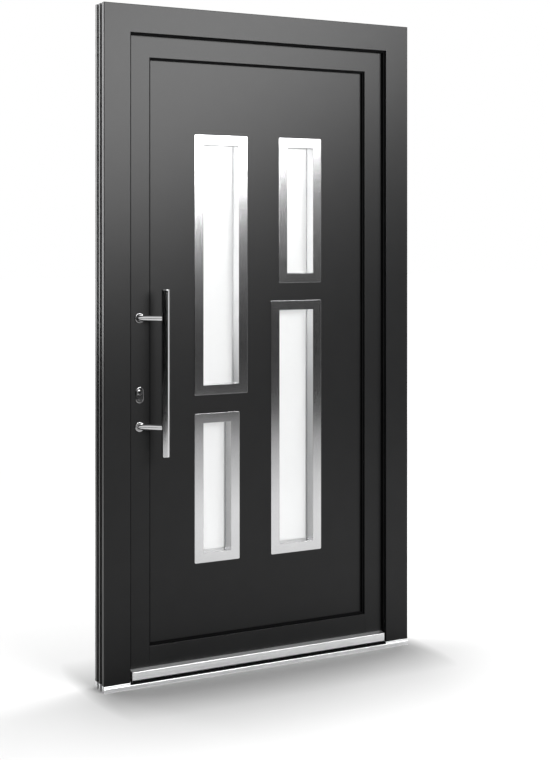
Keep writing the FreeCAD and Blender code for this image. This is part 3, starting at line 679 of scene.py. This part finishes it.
class Piece:
    """A named piece of the door, made of one or more shells."""

    def __init__(self, name: str) -> None:
        """Starts an empty piece."""
        self.name = name
        self.mesh = bmesh.new()

    def add(self, *shells: Shell) -> "Piece":
        """Takes shells into the piece.

        Args:
            shells: the shells, which are used up.

        Returns:
            The piece itself.
        """
        for shell in shells:
            shell.turn_out()
            carrier = bpy.data.meshes.new("shell")
            shell.mesh.to_mesh(carrier)
            shell.mesh.free()
            self.mesh.from_mesh(carrier)
            bpy.data.meshes.remove(carrier)
        return self

    def place(self, carrier: Carrier, finish: Finish, *nodes: str) -> bpy.types.Object:
        """Turns the piece into an object that rides on a body.

        Args:
            carrier: the body that the piece rides on.
            finish: the piece's finish.
            nodes: the nodes that the piece stands for.

        Returns:
            The new object.
        """
        data = bpy.data.meshes.new(self.name)
        for face in self.mesh.faces:
            face.smooth = True
        self.mesh.to_mesh(data)
        self.mesh.free()
        data.set_sharp_from_angle(angle=CREASE)
        piece = bpy.data.objects.new(self.name, data)
        bpy.context.scene.collection.objects.link(piece)
        even = piece.modifiers.new("even_shading", "WEIGHTED_NORMAL")
        even.keep_sharp = True
        even.weight = 100
        data.materials.append(finish.material())
        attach(piece, carrier.value)
        if nodes:
            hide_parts(*nodes)
        log.info("%s: %d faces", self.name, len(data.polygons))
        return piece


def dress(finish: Finish, *nodes: str) -> None:
    """Gives CAD nodes a finish and keeps their shape.

    Args:
        finish: the finish to give.
        nodes: the nodes' names.
    """
    for name in nodes:
        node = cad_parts[name]
        node.data.materials.clear()
        node.data.materials.append(finish.material())
    log.info("dressed %s in %s", ", ".join(nodes), finish.name)


def corners(node: str) -> tuple[Vector, Vector]:
    """The lowest and highest corners of a node."""
    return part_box(node)


@dataclass
class Assembly:
    """A sub-assembly of the door."""

    carrier: Carrier = Carrier.LEAF

    def build(self) -> None:
        """Makes the sub-assembly's new pieces."""

    def dress(self) -> None:
        """Gives the nodes that stay their finishes."""


@dataclass
class Screws:
    """Countersunk screws with cross recesses, on one body; each recess is a thin black cross of painted
    shade.
    """

    carrier: Carrier
    radius: float = 4.2*MM
    height: float = 0.5*MM
    rim: float = 0.3*MM
    cross_long: float = 4.4*MM
    cross_wide: float = 0.9*MM
    proud: float = 0.06*MM
    heads: Piece = field(init=False)
    cross_shades: Piece = field(init=False)

    def __post_init__(self) -> None:
        """Starts the two pieces: the heads and the painted shade of their recesses."""
        self.heads = Piece(f"{self.carrier.value}_screw_heads")
        self.cross_shades = Piece(f"{self.carrier.value}_screw_cross_shades")

    def drive(self, place: Point, out: Direction, sign: int) -> None:
        """Drives one screw.

        Args:
            place: the middle of the head's seat.
            out: the direction across its face.
            sign: which way along that direction the head looks.
        """
        start = Vector(place)
        up = Vector([sign if index == out.value else 0 for index in range(3)])
        self.heads.add(Shell.button(start, start + up*self.height, self.radius, self.rim,
                                    steps=2, segments=28))
        sides = [direction.value for direction in Direction if direction is not out]
        for long_side, short_side in (sides, reversed(sides)):
            half = Vector((0, 0, 0))
            half[long_side], half[short_side] = self.cross_long/2, self.cross_wide/2
            top = start + up*(self.height + self.proud)
            # painted shade: a black cross standing just proud of the head, in place of a real recess
            points = (start - half, top + half) if sign > 0 else (top - half, start + half)
            self.cross_shades.add(Shell.box(*points))

    def finish(self) -> None:
        """Places the heads and the painted shade of their recesses."""
        self.heads.place(self.carrier, SATIN_STEEL)
        self.cross_shades.place(self.carrier, RECESS_SHADE)


@dataclass
class OuterFrame(Assembly):
    """Jambs, head, their thermal breaks, ribs and the stop seal."""

    carrier: Carrier = Carrier.FRAME
    cap_radius: float = 6.8*MM
    cap_height: float = 1.2*MM
    cap_rim: float = 0.84*MM
    cap_depth: float = 13.5*MM
    cap_lowest: float = 150*MM
    cap_step: float = 560*MM
    cap_count: int = 4
    lip_radius: float = 1.6*MM
    seal_wall: float = 16*MM

    def build(self) -> None:
        """Makes the stop seal with its rounded lip and the caps over the frame screws."""
        self.build_stop_seal()
        self.build_caps()

    def build_caps(self) -> None:
        """Closes the holes of the frame screws in both jambs' rebates."""
        caps = Piece("frame_screw_caps")
        rebate = corners("left_jamb_inner_shell")[1].x
        for sign in (-1, 1):
            seat = sign*abs(rebate)
            crown = seat - sign*self.cap_height
            for index in range(self.cap_count):
                height = self.cap_lowest + index*self.cap_step
                caps.add(Shell.button((seat, self.cap_depth, height), (crown, self.cap_depth, height),
                                      self.cap_radius, self.cap_rim, steps=3, segments=32))
        caps.place(self.carrier, POLYAMIDE)

    def build_stop_seal(self) -> None:
        """Rounds the seal's visible front edge: two posts and a beam."""
        low, high = corners("frame_stop_seal")
        wall = self.seal_wall
        piece = Piece("stop_seal")
        left, right = low.x + wall, high.x - wall
        for start, end in (((low.x, low.y, low.z), (left, high.y, high.z)),
                           ((right, low.y, low.z), (high.x, high.y, high.z))):
            post = Shell.box(start, end)
            edges = post.edges(lambda a, b: abs(a.y - b.y) < TOUCH and abs(a.x - b.x) < TOUCH)
            piece.add(post.soften(edges, self.lip_radius))
        beam = Shell.box((left, low.y, high.z - wall), (right, high.y, high.z))
        edges = beam.edges(lambda a, b: abs(a.y - b.y) < TOUCH and abs(a.z - b.z) < TOUCH)
        piece.add(beam.soften(edges, self.lip_radius))
        piece.place(self.carrier, RUBBER, "frame_stop_seal")

    def dress(self) -> None:
        """Coats the shells and blackens the breaks."""
        dress(COAT, "left_jamb_outer_shell", "right_jamb_outer_shell", "head_outer_shell",
              "left_jamb_inner_shell", "right_jamb_inner_shell", "head_inner_shell", "frame_centre_ribs")
        dress(POLYAMIDE, "frame_thermal_breaks")


@dataclass
class Threshold(Assembly):
    """The low threshold: its nose, its core, end ribs and inner rail."""

    carrier: Carrier = Carrier.FRAME
    edge_radius: float = 1.4*MM
    nose_tall: float = 13*MM
    nose_out: float = 3*MM
    step_back: float = 15*MM
    shade_gasket_thick: float = 6.7*MM
    shade_gasket_back: float = 2*MM
    shade_gasket_radius: float = 1*MM

    def build(self) -> None:
        """Makes the outer rail with its nose, and the black gasket in its step under the leaf, partly a seal
        and partly painted shade for the gap under the weather bar.
        """
        low, high = corners("threshold_outer_rail")
        lip = corners("left_jamb_outer_shell")[1].x
        ledge = low.y + self.nose_out
        step = low.y + self.step_back
        rail = Piece("threshold_nose")
        for start, end, back in ((low.x, lip, ledge), (lip, -lip, step), (-lip, high.x, ledge)):
            rail.add(self.stretch(start, end, back))
        rail.place(self.carrier, ALUMINIUM, "threshold_outer_rail")
        # painted shade: the gasket fills the whole step, so that the gap under the weather bar looks dark
        seat = low.z + self.nose_tall
        gasket = Shell.box((lip, ledge + self.shade_gasket_back, seat), (-lip, step, seat + self.shade_gasket_thick))
        gasket.soften(gasket.at(Direction.UP, seat + self.shade_gasket_thick), self.shade_gasket_radius)
        Piece("threshold_shade_gasket").add(gasket).place(self.carrier, RUBBER)

    def stretch(self, start: float, end: float, ledge: float) -> Shell:
        """One stretch of the rail.

        Args:
            start: its left end.
            end: its right end.
            ledge: where the ledge over the nose ends, in depth.

        Returns:
            The stretch's shell.
        """
        low, high = corners("threshold_outer_rail")
        nose = low.z + self.nose_tall
        outline = [(start, high.y, low.z), (start, low.y, low.z), (start, low.y, nose), (start, ledge, nose),
                   (start, ledge, high.z), (start, high.y, high.z)]
        rail = Shell.profile(outline, (end - start, 0, 0))
        return rail.soften(rail.edges(lambda a, b: abs(a.x - b.x) > self.edge_radius and a.z > low.z + TOUCH
                                      and a.y < high.y - TOUCH), self.edge_radius)

    def dress(self) -> None:
        """Finishes the parts that keep their shape."""
        dress(ALUMINIUM, "threshold_end_ribs", "threshold_inner_rail")
        dress(POLYAMIDE, "threshold_thermal_break")


@dataclass
class LeafProfiles(Assembly):
    """Stiles and rails of the leaf with their seals."""

    seal_radius: float = 1.8*MM
    seal_wall: float = 16*MM

    def build(self) -> None:
        """Makes the glazing seal with its rounded lip."""
        low, high = corners("glazing_seal")
        ring = Shell.ring((low.x, low.y, low.z), (high.x, high.y, high.z), self.seal_wall)
        inner = [edge for edge in ring.at(Direction.DEPTH, low.y)
                 if all(low.x + TOUCH < vertex.co.x < high.x - TOUCH for vertex in edge.verts)]
        ring.soften(inner, self.seal_radius)
        Piece("glazing_gasket").add(ring).place(self.carrier, RUBBER, "glazing_seal")

    def dress(self) -> None:
        """Coats the shells and blackens breaks and seals."""
        members = ("left_stile", "right_stile", "top_rail", "bottom_rail")
        shells = [f"{member}_{face}_shell" for member in members for face in ("outer", "inner")]
        dress(COAT, *shells, "glazing_beads")
        dress(POLYAMIDE, "leaf_thermal_breaks")
        dress(RUBBER, "leaf_seals")


@dataclass
class InfillPanel(Assembly):
    """The insulated panel: two coated skins and a foam core."""

    def dress(self) -> None:
        """Coats the skins and gives the core its foam."""
        dress(COAT, "infill_outer_skin", "infill_inner_skin")
        dress(FOAM, "infill_core")


@dataclass
class Windows(Assembly):
    """The four windows: brushed trims with their linings, and white satin glass."""

    names: tuple[str, ...] = ("left_lower", "left_upper", "right_lower", "right_upper")
    border: float = 31*MM
    flange: float = 2*MM
    lining: float = 1.5*MM
    corner: float = 4*MM
    edge_radius: float = 0.7*MM

    def build(self) -> None:
        """Makes the four outer trims, and the plainer ones of the inside as one piece."""
        inner_low, inner_high = corners("inner_window_trims")
        inner = Piece("inner_trims")
        for name in self.names:
            node = f"window_trim_{name}"
            low, high = corners(node)
            outer = Piece(f"trim_{name}").add(*self.trim(node, low.y, high.y))
            outer.place(self.carrier, STEEL_UPRIGHT, node)
            inner.add(*self.trim(node, inner_high.y, inner_low.y))
        inner.place(self.carrier, STEEL_UPRIGHT, "inner_window_trims")

    def trim(self, node: str, face: float, end: float) -> tuple[Shell, Shell]:
        """One trim: a flat ring, and the lining of the opening behind it.

        Args:
            node: the outer trim of the same window.
            face: the depth of the ring's face.
            end: the depth at which the lining ends.

        Returns:
            The ring's shell and the lining's.
        """
        low, high = corners(node)
        back = face + math.copysign(self.flange, end - face)
        inset = self.border - self.lining
        flat = Shell.ring((low.x, min(face, back), low.z), (high.x, max(face, back), high.z), self.border,
                          self.corner)
        flat.soften(flat.at(Direction.DEPTH, face), self.edge_radius)
        lining = Shell.ring((low.x + inset, min(back, end), low.z + inset),
                            (high.x - inset, max(back, end), high.z - inset), self.lining)
        return flat, lining

    def dress(self) -> None:
        """Whitens the panes."""
        dress(GLASS, *(f"glass_{name}" for name in self.names))


@dataclass
class WeatherBar(Assembly):
    """The bar on the leaf's foot that throws rain over the threshold."""

    face_tall: float = 25*MM
    wall: float = 2.5*MM
    edge_radius: float = 1.0*MM
    cap_thick: float = 1.5*MM
    cap_edge: float = 0.6*MM

    def build(self) -> None:
        """Makes the hollow bar and the caps on its ends."""
        low, high = corners("weather_bar")
        shoulder = low.z + self.face_tall
        wall = self.wall
        start = low.x + self.cap_thick
        outline = [
            (start, high.y, low.z), (start, high.y, high.z), (start, low.y, shoulder), (start, low.y, low.z),
            (start, low.y + wall, low.z), (start, low.y + wall, shoulder - wall),
            (start, high.y - wall, high.z - 2*wall), (start, high.y - wall, low.z),
        ]
        bar = Shell.profile(outline, (high.x - low.x - 2*self.cap_thick, 0, 0))
        front = bar.edges(lambda a, b: abs(a.x - b.x) > self.cap_thick and a.y < low.y + TOUCH)
        bar.soften(front, self.edge_radius, 4)
        piece = Piece("weather_bar_profile").add(bar)
        solid = [(high.y, low.z), (high.y, high.z), (low.y, shoulder), (low.y, low.z)]
        for x in (low.x, high.x - self.cap_thick):
            cap = Shell.profile([(x, y, z) for y, z in solid], (self.cap_thick, 0, 0))
            front = cap.edges(lambda a, b: a.y < low.y + TOUCH and b.y < low.y + TOUCH)
            piece.add(cap.soften(front, self.cap_edge, 2))
        piece.place(self.carrier, ALUMINIUM, "weather_bar")


@dataclass
class PullHandle(Assembly):
    """The round pull bar on two oblique supports."""

    end_chamfer: float = 1.2*MM
    foot_radius: float = 15*MM
    foot_thick: float = 4*MM
    foot_rim: float = 1.4*MM
    support_radius: float = 9.5*MM
    feet_apart: float = 336*MM
    overlap: float = 0.4*MM
    segments: int = 96

    def build(self) -> None:
        """Makes the bar and its two supports."""
        low, high = corners("pull_bar")
        middle = (low + high)/2
        radius = (high.x - low.x)/2
        bar = Shell.round_bar((middle.x, middle.y, low.z), (middle.x, middle.y, high.z), radius,
                              self.segments)
        for z in (low.z, high.z):
            bar.soften(bar.at(Direction.UP, z), self.end_chamfer, 2)
        Piece("pull_bar_tube").add(bar).place(self.carrier, SATIN_STEEL, "pull_bar")
        supports = Piece("pull_bar_brackets")
        for sign in (-1, 1):
            supports.add(*self.support(middle, radius, middle.z + sign*self.feet_apart/2))
        supports.place(self.carrier, SATIN_STEEL_LEVEL, "pull_bar_supports")

    def support(self, bar: Vector, bar_radius: float, height: float) -> list[Shell]:
        """One support: a foot disc and an oblique rod that is coped to the bar.

        Args:
            bar: the bar's middle.
            bar_radius: the bar's radius.
            height: the height of the support.

        Returns:
            The support's shells.
        """
        low, high = corners("pull_bar_supports")
        seat = high.y
        foot_x = low.x + self.foot_radius
        disc = Shell.button((foot_x, seat, height), (foot_x, seat - self.foot_thick, height),
                            self.foot_radius, self.foot_rim, steps=3, segments=64)
        start = Vector((foot_x, seat, height))
        end = Vector((bar.x, bar.y, height))
        axis = (end - start).normalized()
        rod = Shell.round_bar(start, end, self.support_radius, 48)
        reach = bar_radius - self.overlap
        for vertex in rod.mesh.verts:
            if (vertex.co - end).dot(axis) > -TOUCH:
                aside = (vertex.co - end).cross(axis).z
                vertex.co -= axis*math.sqrt(max(0.0, reach*reach - aside*aside))
            else:
                vertex.co += axis*max(0.0, (vertex.co.y - (seat - TOUCH))/abs(axis.y))
        return [disc, rod]


@dataclass
class Lock(Assembly):
    """The profile cylinder, its rose, and the faceplate in the leaf's edge."""

    cylinder_mid: float = 905*MM
    plug_radius: float = 7.2*MM
    plug_out: float = 0.5*MM
    plug_rim: float = 0.4*MM
    rose_edge: float = 1.3*MM
    key_tall: float = 8.5*MM
    key_wide: float = 1.8*MM
    key_drop: float = 0.62
    key_out: float = 0.05*MM
    screw_heights: tuple[float, ...] = (170*MM, 430*MM, 760*MM, 1240*MM, 1480*MM, 1830*MM)
    bolt_deep: float = 9*MM
    bolt_tall: float = 36*MM
    bolt_out: float = 0.6*MM
    bolt_rim: float = 0.8
    slit: float = 0.8*MM

    def build(self) -> None:
        """Makes the rose, the cylinder's plugs, the keyholes as black slots of painted shade, and the bolts
        in the faceplate.
        """
        low, high = corners("lock_cylinder")
        rose_low, rose_high = corners("lock_rose")
        rose = Shell.oval(tuple(rose_low), tuple(rose_high))
        rose.soften(rose.at(Direction.DEPTH, rose_low.y), self.rose_edge, 4)
        Piece("lock_rose_plate").add(rose).place(self.carrier, SATIN_STEEL, "lock_rose")
        x = (low.x + high.x)/2
        plugs, keyhole_shades = Piece("lock_plugs"), Piece("lock_keyhole_shades")
        for face, sign in ((low.y, -1), (high.y, 1)):
            crown = face + sign*self.plug_out
            plugs.add(Shell.button((x, face - sign*self.plug_out, self.cylinder_mid),
                                   (x, crown, self.cylinder_mid), self.plug_radius, self.plug_rim,
                                   steps=2, segments=48))
            # painted shade: each keyhole is a thin black slot standing just proud of the plug
            out = crown + sign*self.key_out
            foot = self.cylinder_mid - self.key_tall*self.key_drop
            keyhole_shades.add(Shell.box((x - self.key_wide/2, min(face, out), foot),
                                  (x + self.key_wide/2, max(face, out), foot + self.key_tall)))
        plugs.place(self.carrier, SATIN_STEEL)
        keyhole_shades.place(self.carrier, RECESS_SHADE)
        self.build_bolts()

    def build_bolts(self) -> None:
        """Makes the drawn-in bolts' ends, flush in the faceplate, each with a black rim of painted shade for
        the slit round it.
        """
        low, high = corners("lock_faceplate")
        middle = (low.y + high.y)/2
        ends, slit_shades = Piece("lock_bolt_ends"), Piece("lock_bolt_slit_shades")
        for height in BOLT_HEIGHTS:
            # painted shade: a black block behind each bolt end shows as a rim round it, for the shade in the
            # slit
            for piece, out, grow in ((slit_shades, self.bolt_out/4, self.slit), (ends, self.bolt_out, 0.0)):
                half_deep, half_tall = self.bolt_deep/2 + grow, self.bolt_tall/2 + grow
                block = Shell.box((low.x - out, middle - half_deep, height - half_tall),
                                  (high.x, middle + half_deep, height + half_tall))
                piece.add(block.soften(block.at(Direction.WIDTH, low.x - out), out*self.bolt_rim, 2))
        ends.place(self.carrier, SATIN_STEEL)
        slit_shades.place(self.carrier, RECESS_SHADE)

    def screw(self, screws: Screws) -> None:
        """Fixes the faceplate to the leaf's edge.

        Args:
            screws: the screws of the leaf.
        """
        low, high = corners("lock_faceplate")
        for height in self.screw_heights:
            screws.drive((low.x, (low.y + high.y)/2, height), Direction.WIDTH, -1)

    def dress(self) -> None:
        """Finishes the steel that keeps its shape."""
        dress(SATIN_STEEL, "lock_cylinder", "lock_faceplate")


@dataclass
class StrikePlates(Assembly):
    """Three strike plates in the latch jamb's rebate."""

    carrier: Carrier = Carrier.FRAME
    screw_reach: float = 58*MM

    def screw(self, screws: Screws) -> None:
        """Fixes each plate with a screw above and one below its bolt hole.

        Args:
            screws: the screws of the frame.
        """
        low, high = corners("strike_plates")
        for height in BOLT_HEIGHTS:
            for sign in (-1, 1):
                screws.drive((high.x, (low.y + high.y)/2, height + sign*self.screw_reach), Direction.WIDTH, 1)

    def dress(self) -> None:
        """Finishes the plates."""
        dress(SATIN_STEEL, "strike_plates")


@dataclass
class InsideHandle(Assembly):
    """The long plate and the lever inside."""

    plate_edge: float = 2.5*MM
    lever_radius: float = 9.5*MM
    lever_curve: float = 15*MM
    lever_edge: float = 2.5*MM
    collar_radius: float = 12.8*MM
    collar_tall: float = 2.5*MM
    collar_rim: float = 1.0*MM

    def build(self) -> None:
        """Makes the plate with its rounded rim, and the bent lever with its collar."""
        low, high = corners("inside_handle_plate")
        plate = Shell.oval(tuple(low), tuple(high))
        plate.soften(plate.at(Direction.DEPTH, high.y), self.plate_edge, 4)
        Piece("inside_handle_cover").add(plate).place(self.carrier, SATIN_STEEL, "inside_handle_plate")
        lever_low, lever_high = corners("inside_lever")
        x, z = (low.x + high.x)/2, (lever_low.z + lever_high.z)/2
        axis = lever_high.y - self.lever_radius
        lever = Shell.bent_bar((x, lever_low.y, z), (x, axis, z), (lever_high.x, axis, z), self.lever_radius,
                               self.lever_curve)
        lever.soften(lever.at(Direction.WIDTH, lever_high.x), self.lever_edge, 4)
        collar = Shell.button((x, high.y, z), (x, high.y + self.collar_tall, z), self.collar_radius,
                              self.collar_rim, steps=3, segments=56)
        Piece("inside_lever_bent").add(lever, collar).place(self.carrier, SATIN_STEEL_LEVEL, "inside_lever")


@dataclass
class Hinges(Assembly):
    """Three barrel hinges on the hinge side, inside."""

    axis: tuple[float, float] = (508*MM, 69.5*MM)
    barrel_radius: float = 11*MM
    half_tall: float = 62*MM
    heights: tuple[float, ...] = (240*MM, 1045*MM, 1850*MM)
    cap_tall: float = 2.2*MM
    cap_inset: float = 0.6*MM
    cap_rim: float = 1.76*MM
    plate_thick: float = 5*MM
    screw_reach: float = 40*MM
    frame_screw_x: float = 532*MM
    leaf_screws_x: tuple[float, ...] = (451*MM, 475*MM)

    def build(self) -> None:
        """Makes the domed caps on the barrels' ends."""
        caps = Piece("hinge_caps")
        radius = self.barrel_radius - self.cap_inset
        for height in self.heights:
            for sign in (-1, 1):
                seat = height + sign*self.half_tall
                crown = seat + sign*self.cap_tall
                caps.add(Shell.button((*self.axis, seat), (*self.axis, crown), radius, self.cap_rim,
                                      steps=4, segments=48))
        caps.place(Carrier.FRAME, POLYAMIDE)

    def screw(self, frame_screws: Screws, leaf_screws: Screws) -> None:
        """Fixes both plates of each hinge.

        Args:
            frame_screws: the screws of the frame.
            leaf_screws: the screws of the leaf.
        """
        seat = corners("right_jamb_inner_shell")[1].y + self.plate_thick
        face = corners("right_stile_inner_shell")[1].y + self.plate_thick
        for height in self.heights:
            for sign in (-1, 1):
                z = height + sign*self.screw_reach
                frame_screws.drive((self.frame_screw_x, seat, z), Direction.DEPTH, 1)
                for x in self.leaf_screws_x:
                    leaf_screws.drive((x, face, z), Direction.DEPTH, 1)

    def dress(self) -> None:
        """Coats both halves."""
        dress(COAT, "hinge_frame_halves", "hinge_leaf_halves")


# Studio

@dataclass
class Softbox:
    """A rectangular lamp. A radiance of 1 is the brightness of a white wall in plain light."""

    name: str
    place: Point
    target: Point
    wide: float
    high: float
    radiance: float
    roll: float = 0.0
    in_gloss: bool = True

    def light(self) -> None:
        """Hangs the lamp, turned to its target and rolled about its own axis by degrees."""
        data = bpy.data.lights.new(self.name, "AREA")
        data.shape = "RECTANGLE"
        data.size, data.size_y = self.wide, self.high
        data.energy = self.radiance*math.pi*self.wide*self.high
        lamp = bpy.data.objects.new(self.name, data)
        bpy.context.scene.collection.objects.link(lamp)
        direction = Vector(self.target) - Vector(self.place)
        turn = direction.to_track_quat("-Z", "Y").to_matrix().to_4x4()
        roll = Matrix.Rotation(math.radians(self.roll), 4, "Z")
        lamp.matrix_world = Matrix.Translation(self.place) @ turn @ roll
        lamp.visible_camera = False
        lamp.visible_glossy = self.in_gloss


@dataclass
class Studio:
    """Pale floor, white surroundings, soft lamps, and dark cloth that shapes the gloss."""

    floor_half: float = 40.0
    fill: float = 0.06
    background: float = 1.0
    floor_pale: float = 0.58
    # painted shadow: the floor's colour at the threshold, and how far in front and to the sides it fades to
    # the pale colour
    floor_painted_shadow: float = 0.35
    painted_shadow_reach: float = 0.28
    painted_shadow_side_reach: float = 0.06
    floor_lift: float = 0.03
    white_from: float = 0.5
    white_to: float = 7.0
    key_edge: tuple[float, float] = (0.3, 3.4)
    key_slope: float = 0.473
    key_zero: float = 1.043
    key_back: float = 3.6
    key_high: float = 1.8
    key_radiance: float = 14.0
    cloth_low: float = 1.2
    cloth_past: float = 1.2
    band_radius: float = 5.6
    band_tall: float = 1.45
    band_turn: tuple[float, float] = (-150.0, 43.0)
    lamps: tuple[Softbox, ...] = field(default_factory=lambda: (
        Softbox("side", (-1.8, 3.2, 2.15), (-0.55, 0.0, 2.15), 0.7, 2.7, 5.5),
        Softbox("top", (0.2, 0.6, 5.5), (0.2, 0.6, 0.0), 4.0, 1.0, 30.0, in_gloss=False),
        Softbox("inside", (0.5, 3.6, 2.75), (0.5, 0.0, 2.75), 3.0, 1.6, 6.0),
    ))

    def build(self) -> None:
        """Makes the surroundings, the floor, the dark cloth and the lamps."""
        self.build_world()
        self.build_floor()
        self.build_cloth()
        self.key().light()
        for lamp in self.lamps:
            lamp.light()

    def key_line(self, x: float) -> float:
        """The height of the key's lower edge at a place along the door's width."""
        return self.key_zero + self.key_slope*x

    def key(self) -> Softbox:
        """The key lamp, which faces the door and whose lower edge rises to the right.

        Returns:
            The lamp.
        """
        start, end = self.key_edge
        tilt = math.atan(self.key_slope)
        middle = (start + end)/2
        half = self.key_high/2
        x = middle - math.sin(tilt)*half
        z = self.key_line(middle) + math.cos(tilt)*half
        wide = (end - start)/math.cos(tilt)
        return Softbox("key", (x, -self.key_back, z), (x, 0.0, z), wide, self.key_high, self.key_radiance,
                       math.degrees(tilt))

    def build_world(self) -> None:
        """White where it is seen, and a soft fill elsewhere."""
        world = bpy.data.worlds.new("studio")
        bpy.context.scene.world = world
        world.use_nodes = True
        nodes = Nodes(world.node_tree)
        soft, white = (nodes.add("ShaderNodeBackground", {"Color": (1, 1, 1, 1), "Strength": strength})
                       for strength in (self.fill, self.background))
        mix = nodes.add("ShaderNodeMixShader", {0: nodes.seen(), 1: soft.outputs[0], 2: white.outputs[0]})
        nodes.add("ShaderNodeOutputWorld", {"Surface": mix.outputs[0]})

    def from_door(self, graph: Graph) -> Socket:
        """Measures how far a place on the floor is from the threshold, for the shadow painted into the
        floor's colour.

        Args:
            graph: the floor's graph.

        Returns:
            The distance, as a share of the painted shadow's reach.
        """
        low, high = corners("threshold_outer_rail")
        split = graph.add("ShaderNodeSeparateXYZ", {0: graph.place()})
        shares = {}
        for axis, half, reach in (("X", high.x, self.painted_shadow_side_reach), ("Y", -low.y, self.painted_shadow_reach)):
            over = graph.combine("SUBTRACT", graph.combine("ABSOLUTE", split.outputs[axis]), half)
            shares[axis] = graph.combine("DIVIDE", graph.combine("MAXIMUM", over), reach)
        return graph.length(graph.add("ShaderNodeCombineXYZ", shares).outputs[0])

    def build_floor(self) -> None:
        """A pale floor that keeps the door's shadow, has a painted shadow darkening its colour near the
        threshold, and turns white further off.
        """
        mesh = bmesh.new()
        bmesh.ops.create_grid(mesh, x_segments=1, y_segments=1, size=self.floor_half)
        graph = Graph("pale_floor")
        # painted shadow: the floor's base colour is darker near the threshold
        shade = graph.spread(self.from_door(graph), self.floor_painted_shadow, self.floor_pale, 0.0, 1.0)
        lift = graph.spread(graph.length(graph.place()), self.floor_lift, self.background, self.white_from,
                            self.white_to)
        graph.shade({"Base Color": shade, "Roughness": 1.0, "Specular IOR Level": 0.0,
                     "Emission Color": (1, 1, 1, 1),
                     "Emission Strength": graph.combine("MULTIPLY", graph.seen(), lift)})
        self.stage("studio_floor", mesh, graph.material)

    def build_cloth(self) -> None:
        """Black cloth that only gloss sees: a band round the front, and a sheet under the key's edge."""
        band = bmesh.new()
        start, end = (math.radians(turn) for turn in self.band_turn)
        foot = Vector((math.sin(start), -math.cos(start), 0.0))*self.band_radius
        low, high = band.verts.new(foot), band.verts.new(foot + Vector((0, 0, self.band_tall)))
        edge = band.edges.new((low, high))
        bmesh.ops.spin(band, geom=[low, high, edge], cent=(0, 0, 0), axis=(0, 0, 1), angle=end - start,
                       steps=64, use_merge=False, use_duplicate=False)
        sheet = bmesh.new()
        left = (self.cloth_low - self.key_zero)/self.key_slope
        right = self.key_edge[1] + self.cloth_past
        outline = ((left, self.cloth_low), (right, self.cloth_low), (right, self.key_line(right)))
        sheet.faces.new([sheet.verts.new((x, -self.key_back, z)) for x, z in outline])
        cloth = Finish("black_cloth", "", (0.0, 0.0, 0.0), 1.0, specular=0.0).material()
        for name, mesh in (("studio_band", band), ("studio_sheet", sheet)):
            hung = self.stage(name, mesh, cloth)
            hung.visible_camera = False
            hung.visible_diffuse = False
            hung.visible_shadow = False

    @staticmethod
    def stage(name: str, mesh: bmesh.types.BMesh, material: bpy.types.Material) -> bpy.types.Object:
        """Puts up a thing of the studio, which isn't part of the door.

        Args:
            name: its name.
            mesh: its shape, which is used up.
            material: its material.

        Returns:
            The new object.
        """
        data = bpy.data.meshes.new(name)
        mesh.to_mesh(data)
        mesh.free()
        data.materials.append(material)
        thing = bpy.data.objects.new(name, data)
        bpy.context.scene.collection.objects.link(thing)
        return thing


@dataclass
class PhotoCamera:
    """A level camera at the photograph's place, with the picture shifted down. Rows are in pixels."""

    place: Point = (-2.10095, -4.03154, 1.38471)
    yaw: float = 0.4921
    focal_pixels: float = 1402.39
    horizon_row: float = 237.26
    picture_rows: int = 760
    sensor: float = 36.0

    def build(self) -> None:
        """Sets the camera up."""
        data = bpy.data.cameras.new("photo_camera")
        data.sensor_width = self.sensor
        data.lens = self.focal_pixels*self.sensor/self.picture_rows
        data.shift_y = self.horizon_row/self.picture_rows - 0.5
        camera = bpy.data.objects.new("photo_camera", data)
        bpy.context.scene.collection.objects.link(camera)
        camera.location = self.place
        camera.rotation_euler = (math.pi/2, 0, -self.yaw)
        bpy.context.scene.camera = camera


def main() -> None:
    """Builds and dresses every sub-assembly, then the studio and the camera."""
    bpy.context.scene.view_settings.view_transform = "Standard"
    lock, strikes, hinges = Lock(), StrikePlates(), Hinges()
    assemblies = (OuterFrame(), Threshold(), LeafProfiles(), InfillPanel(), Windows(), WeatherBar(),
                  PullHandle(), lock, strikes, InsideHandle(), hinges)
    for assembly in assemblies:
        assembly.build()
        assembly.dress()
        log.info("%s is done", type(assembly).__name__)
    frame_screws, leaf_screws = Screws(Carrier.FRAME), Screws(Carrier.LEAF)
    lock.screw(leaf_screws)
    strikes.screw(frame_screws)
    hinges.screw(frame_screws, leaf_screws)
    frame_screws.finish()
    leaf_screws.finish()
    Studio().build()
    PhotoCamera().build()


if __name__ == "__main__":
    main()
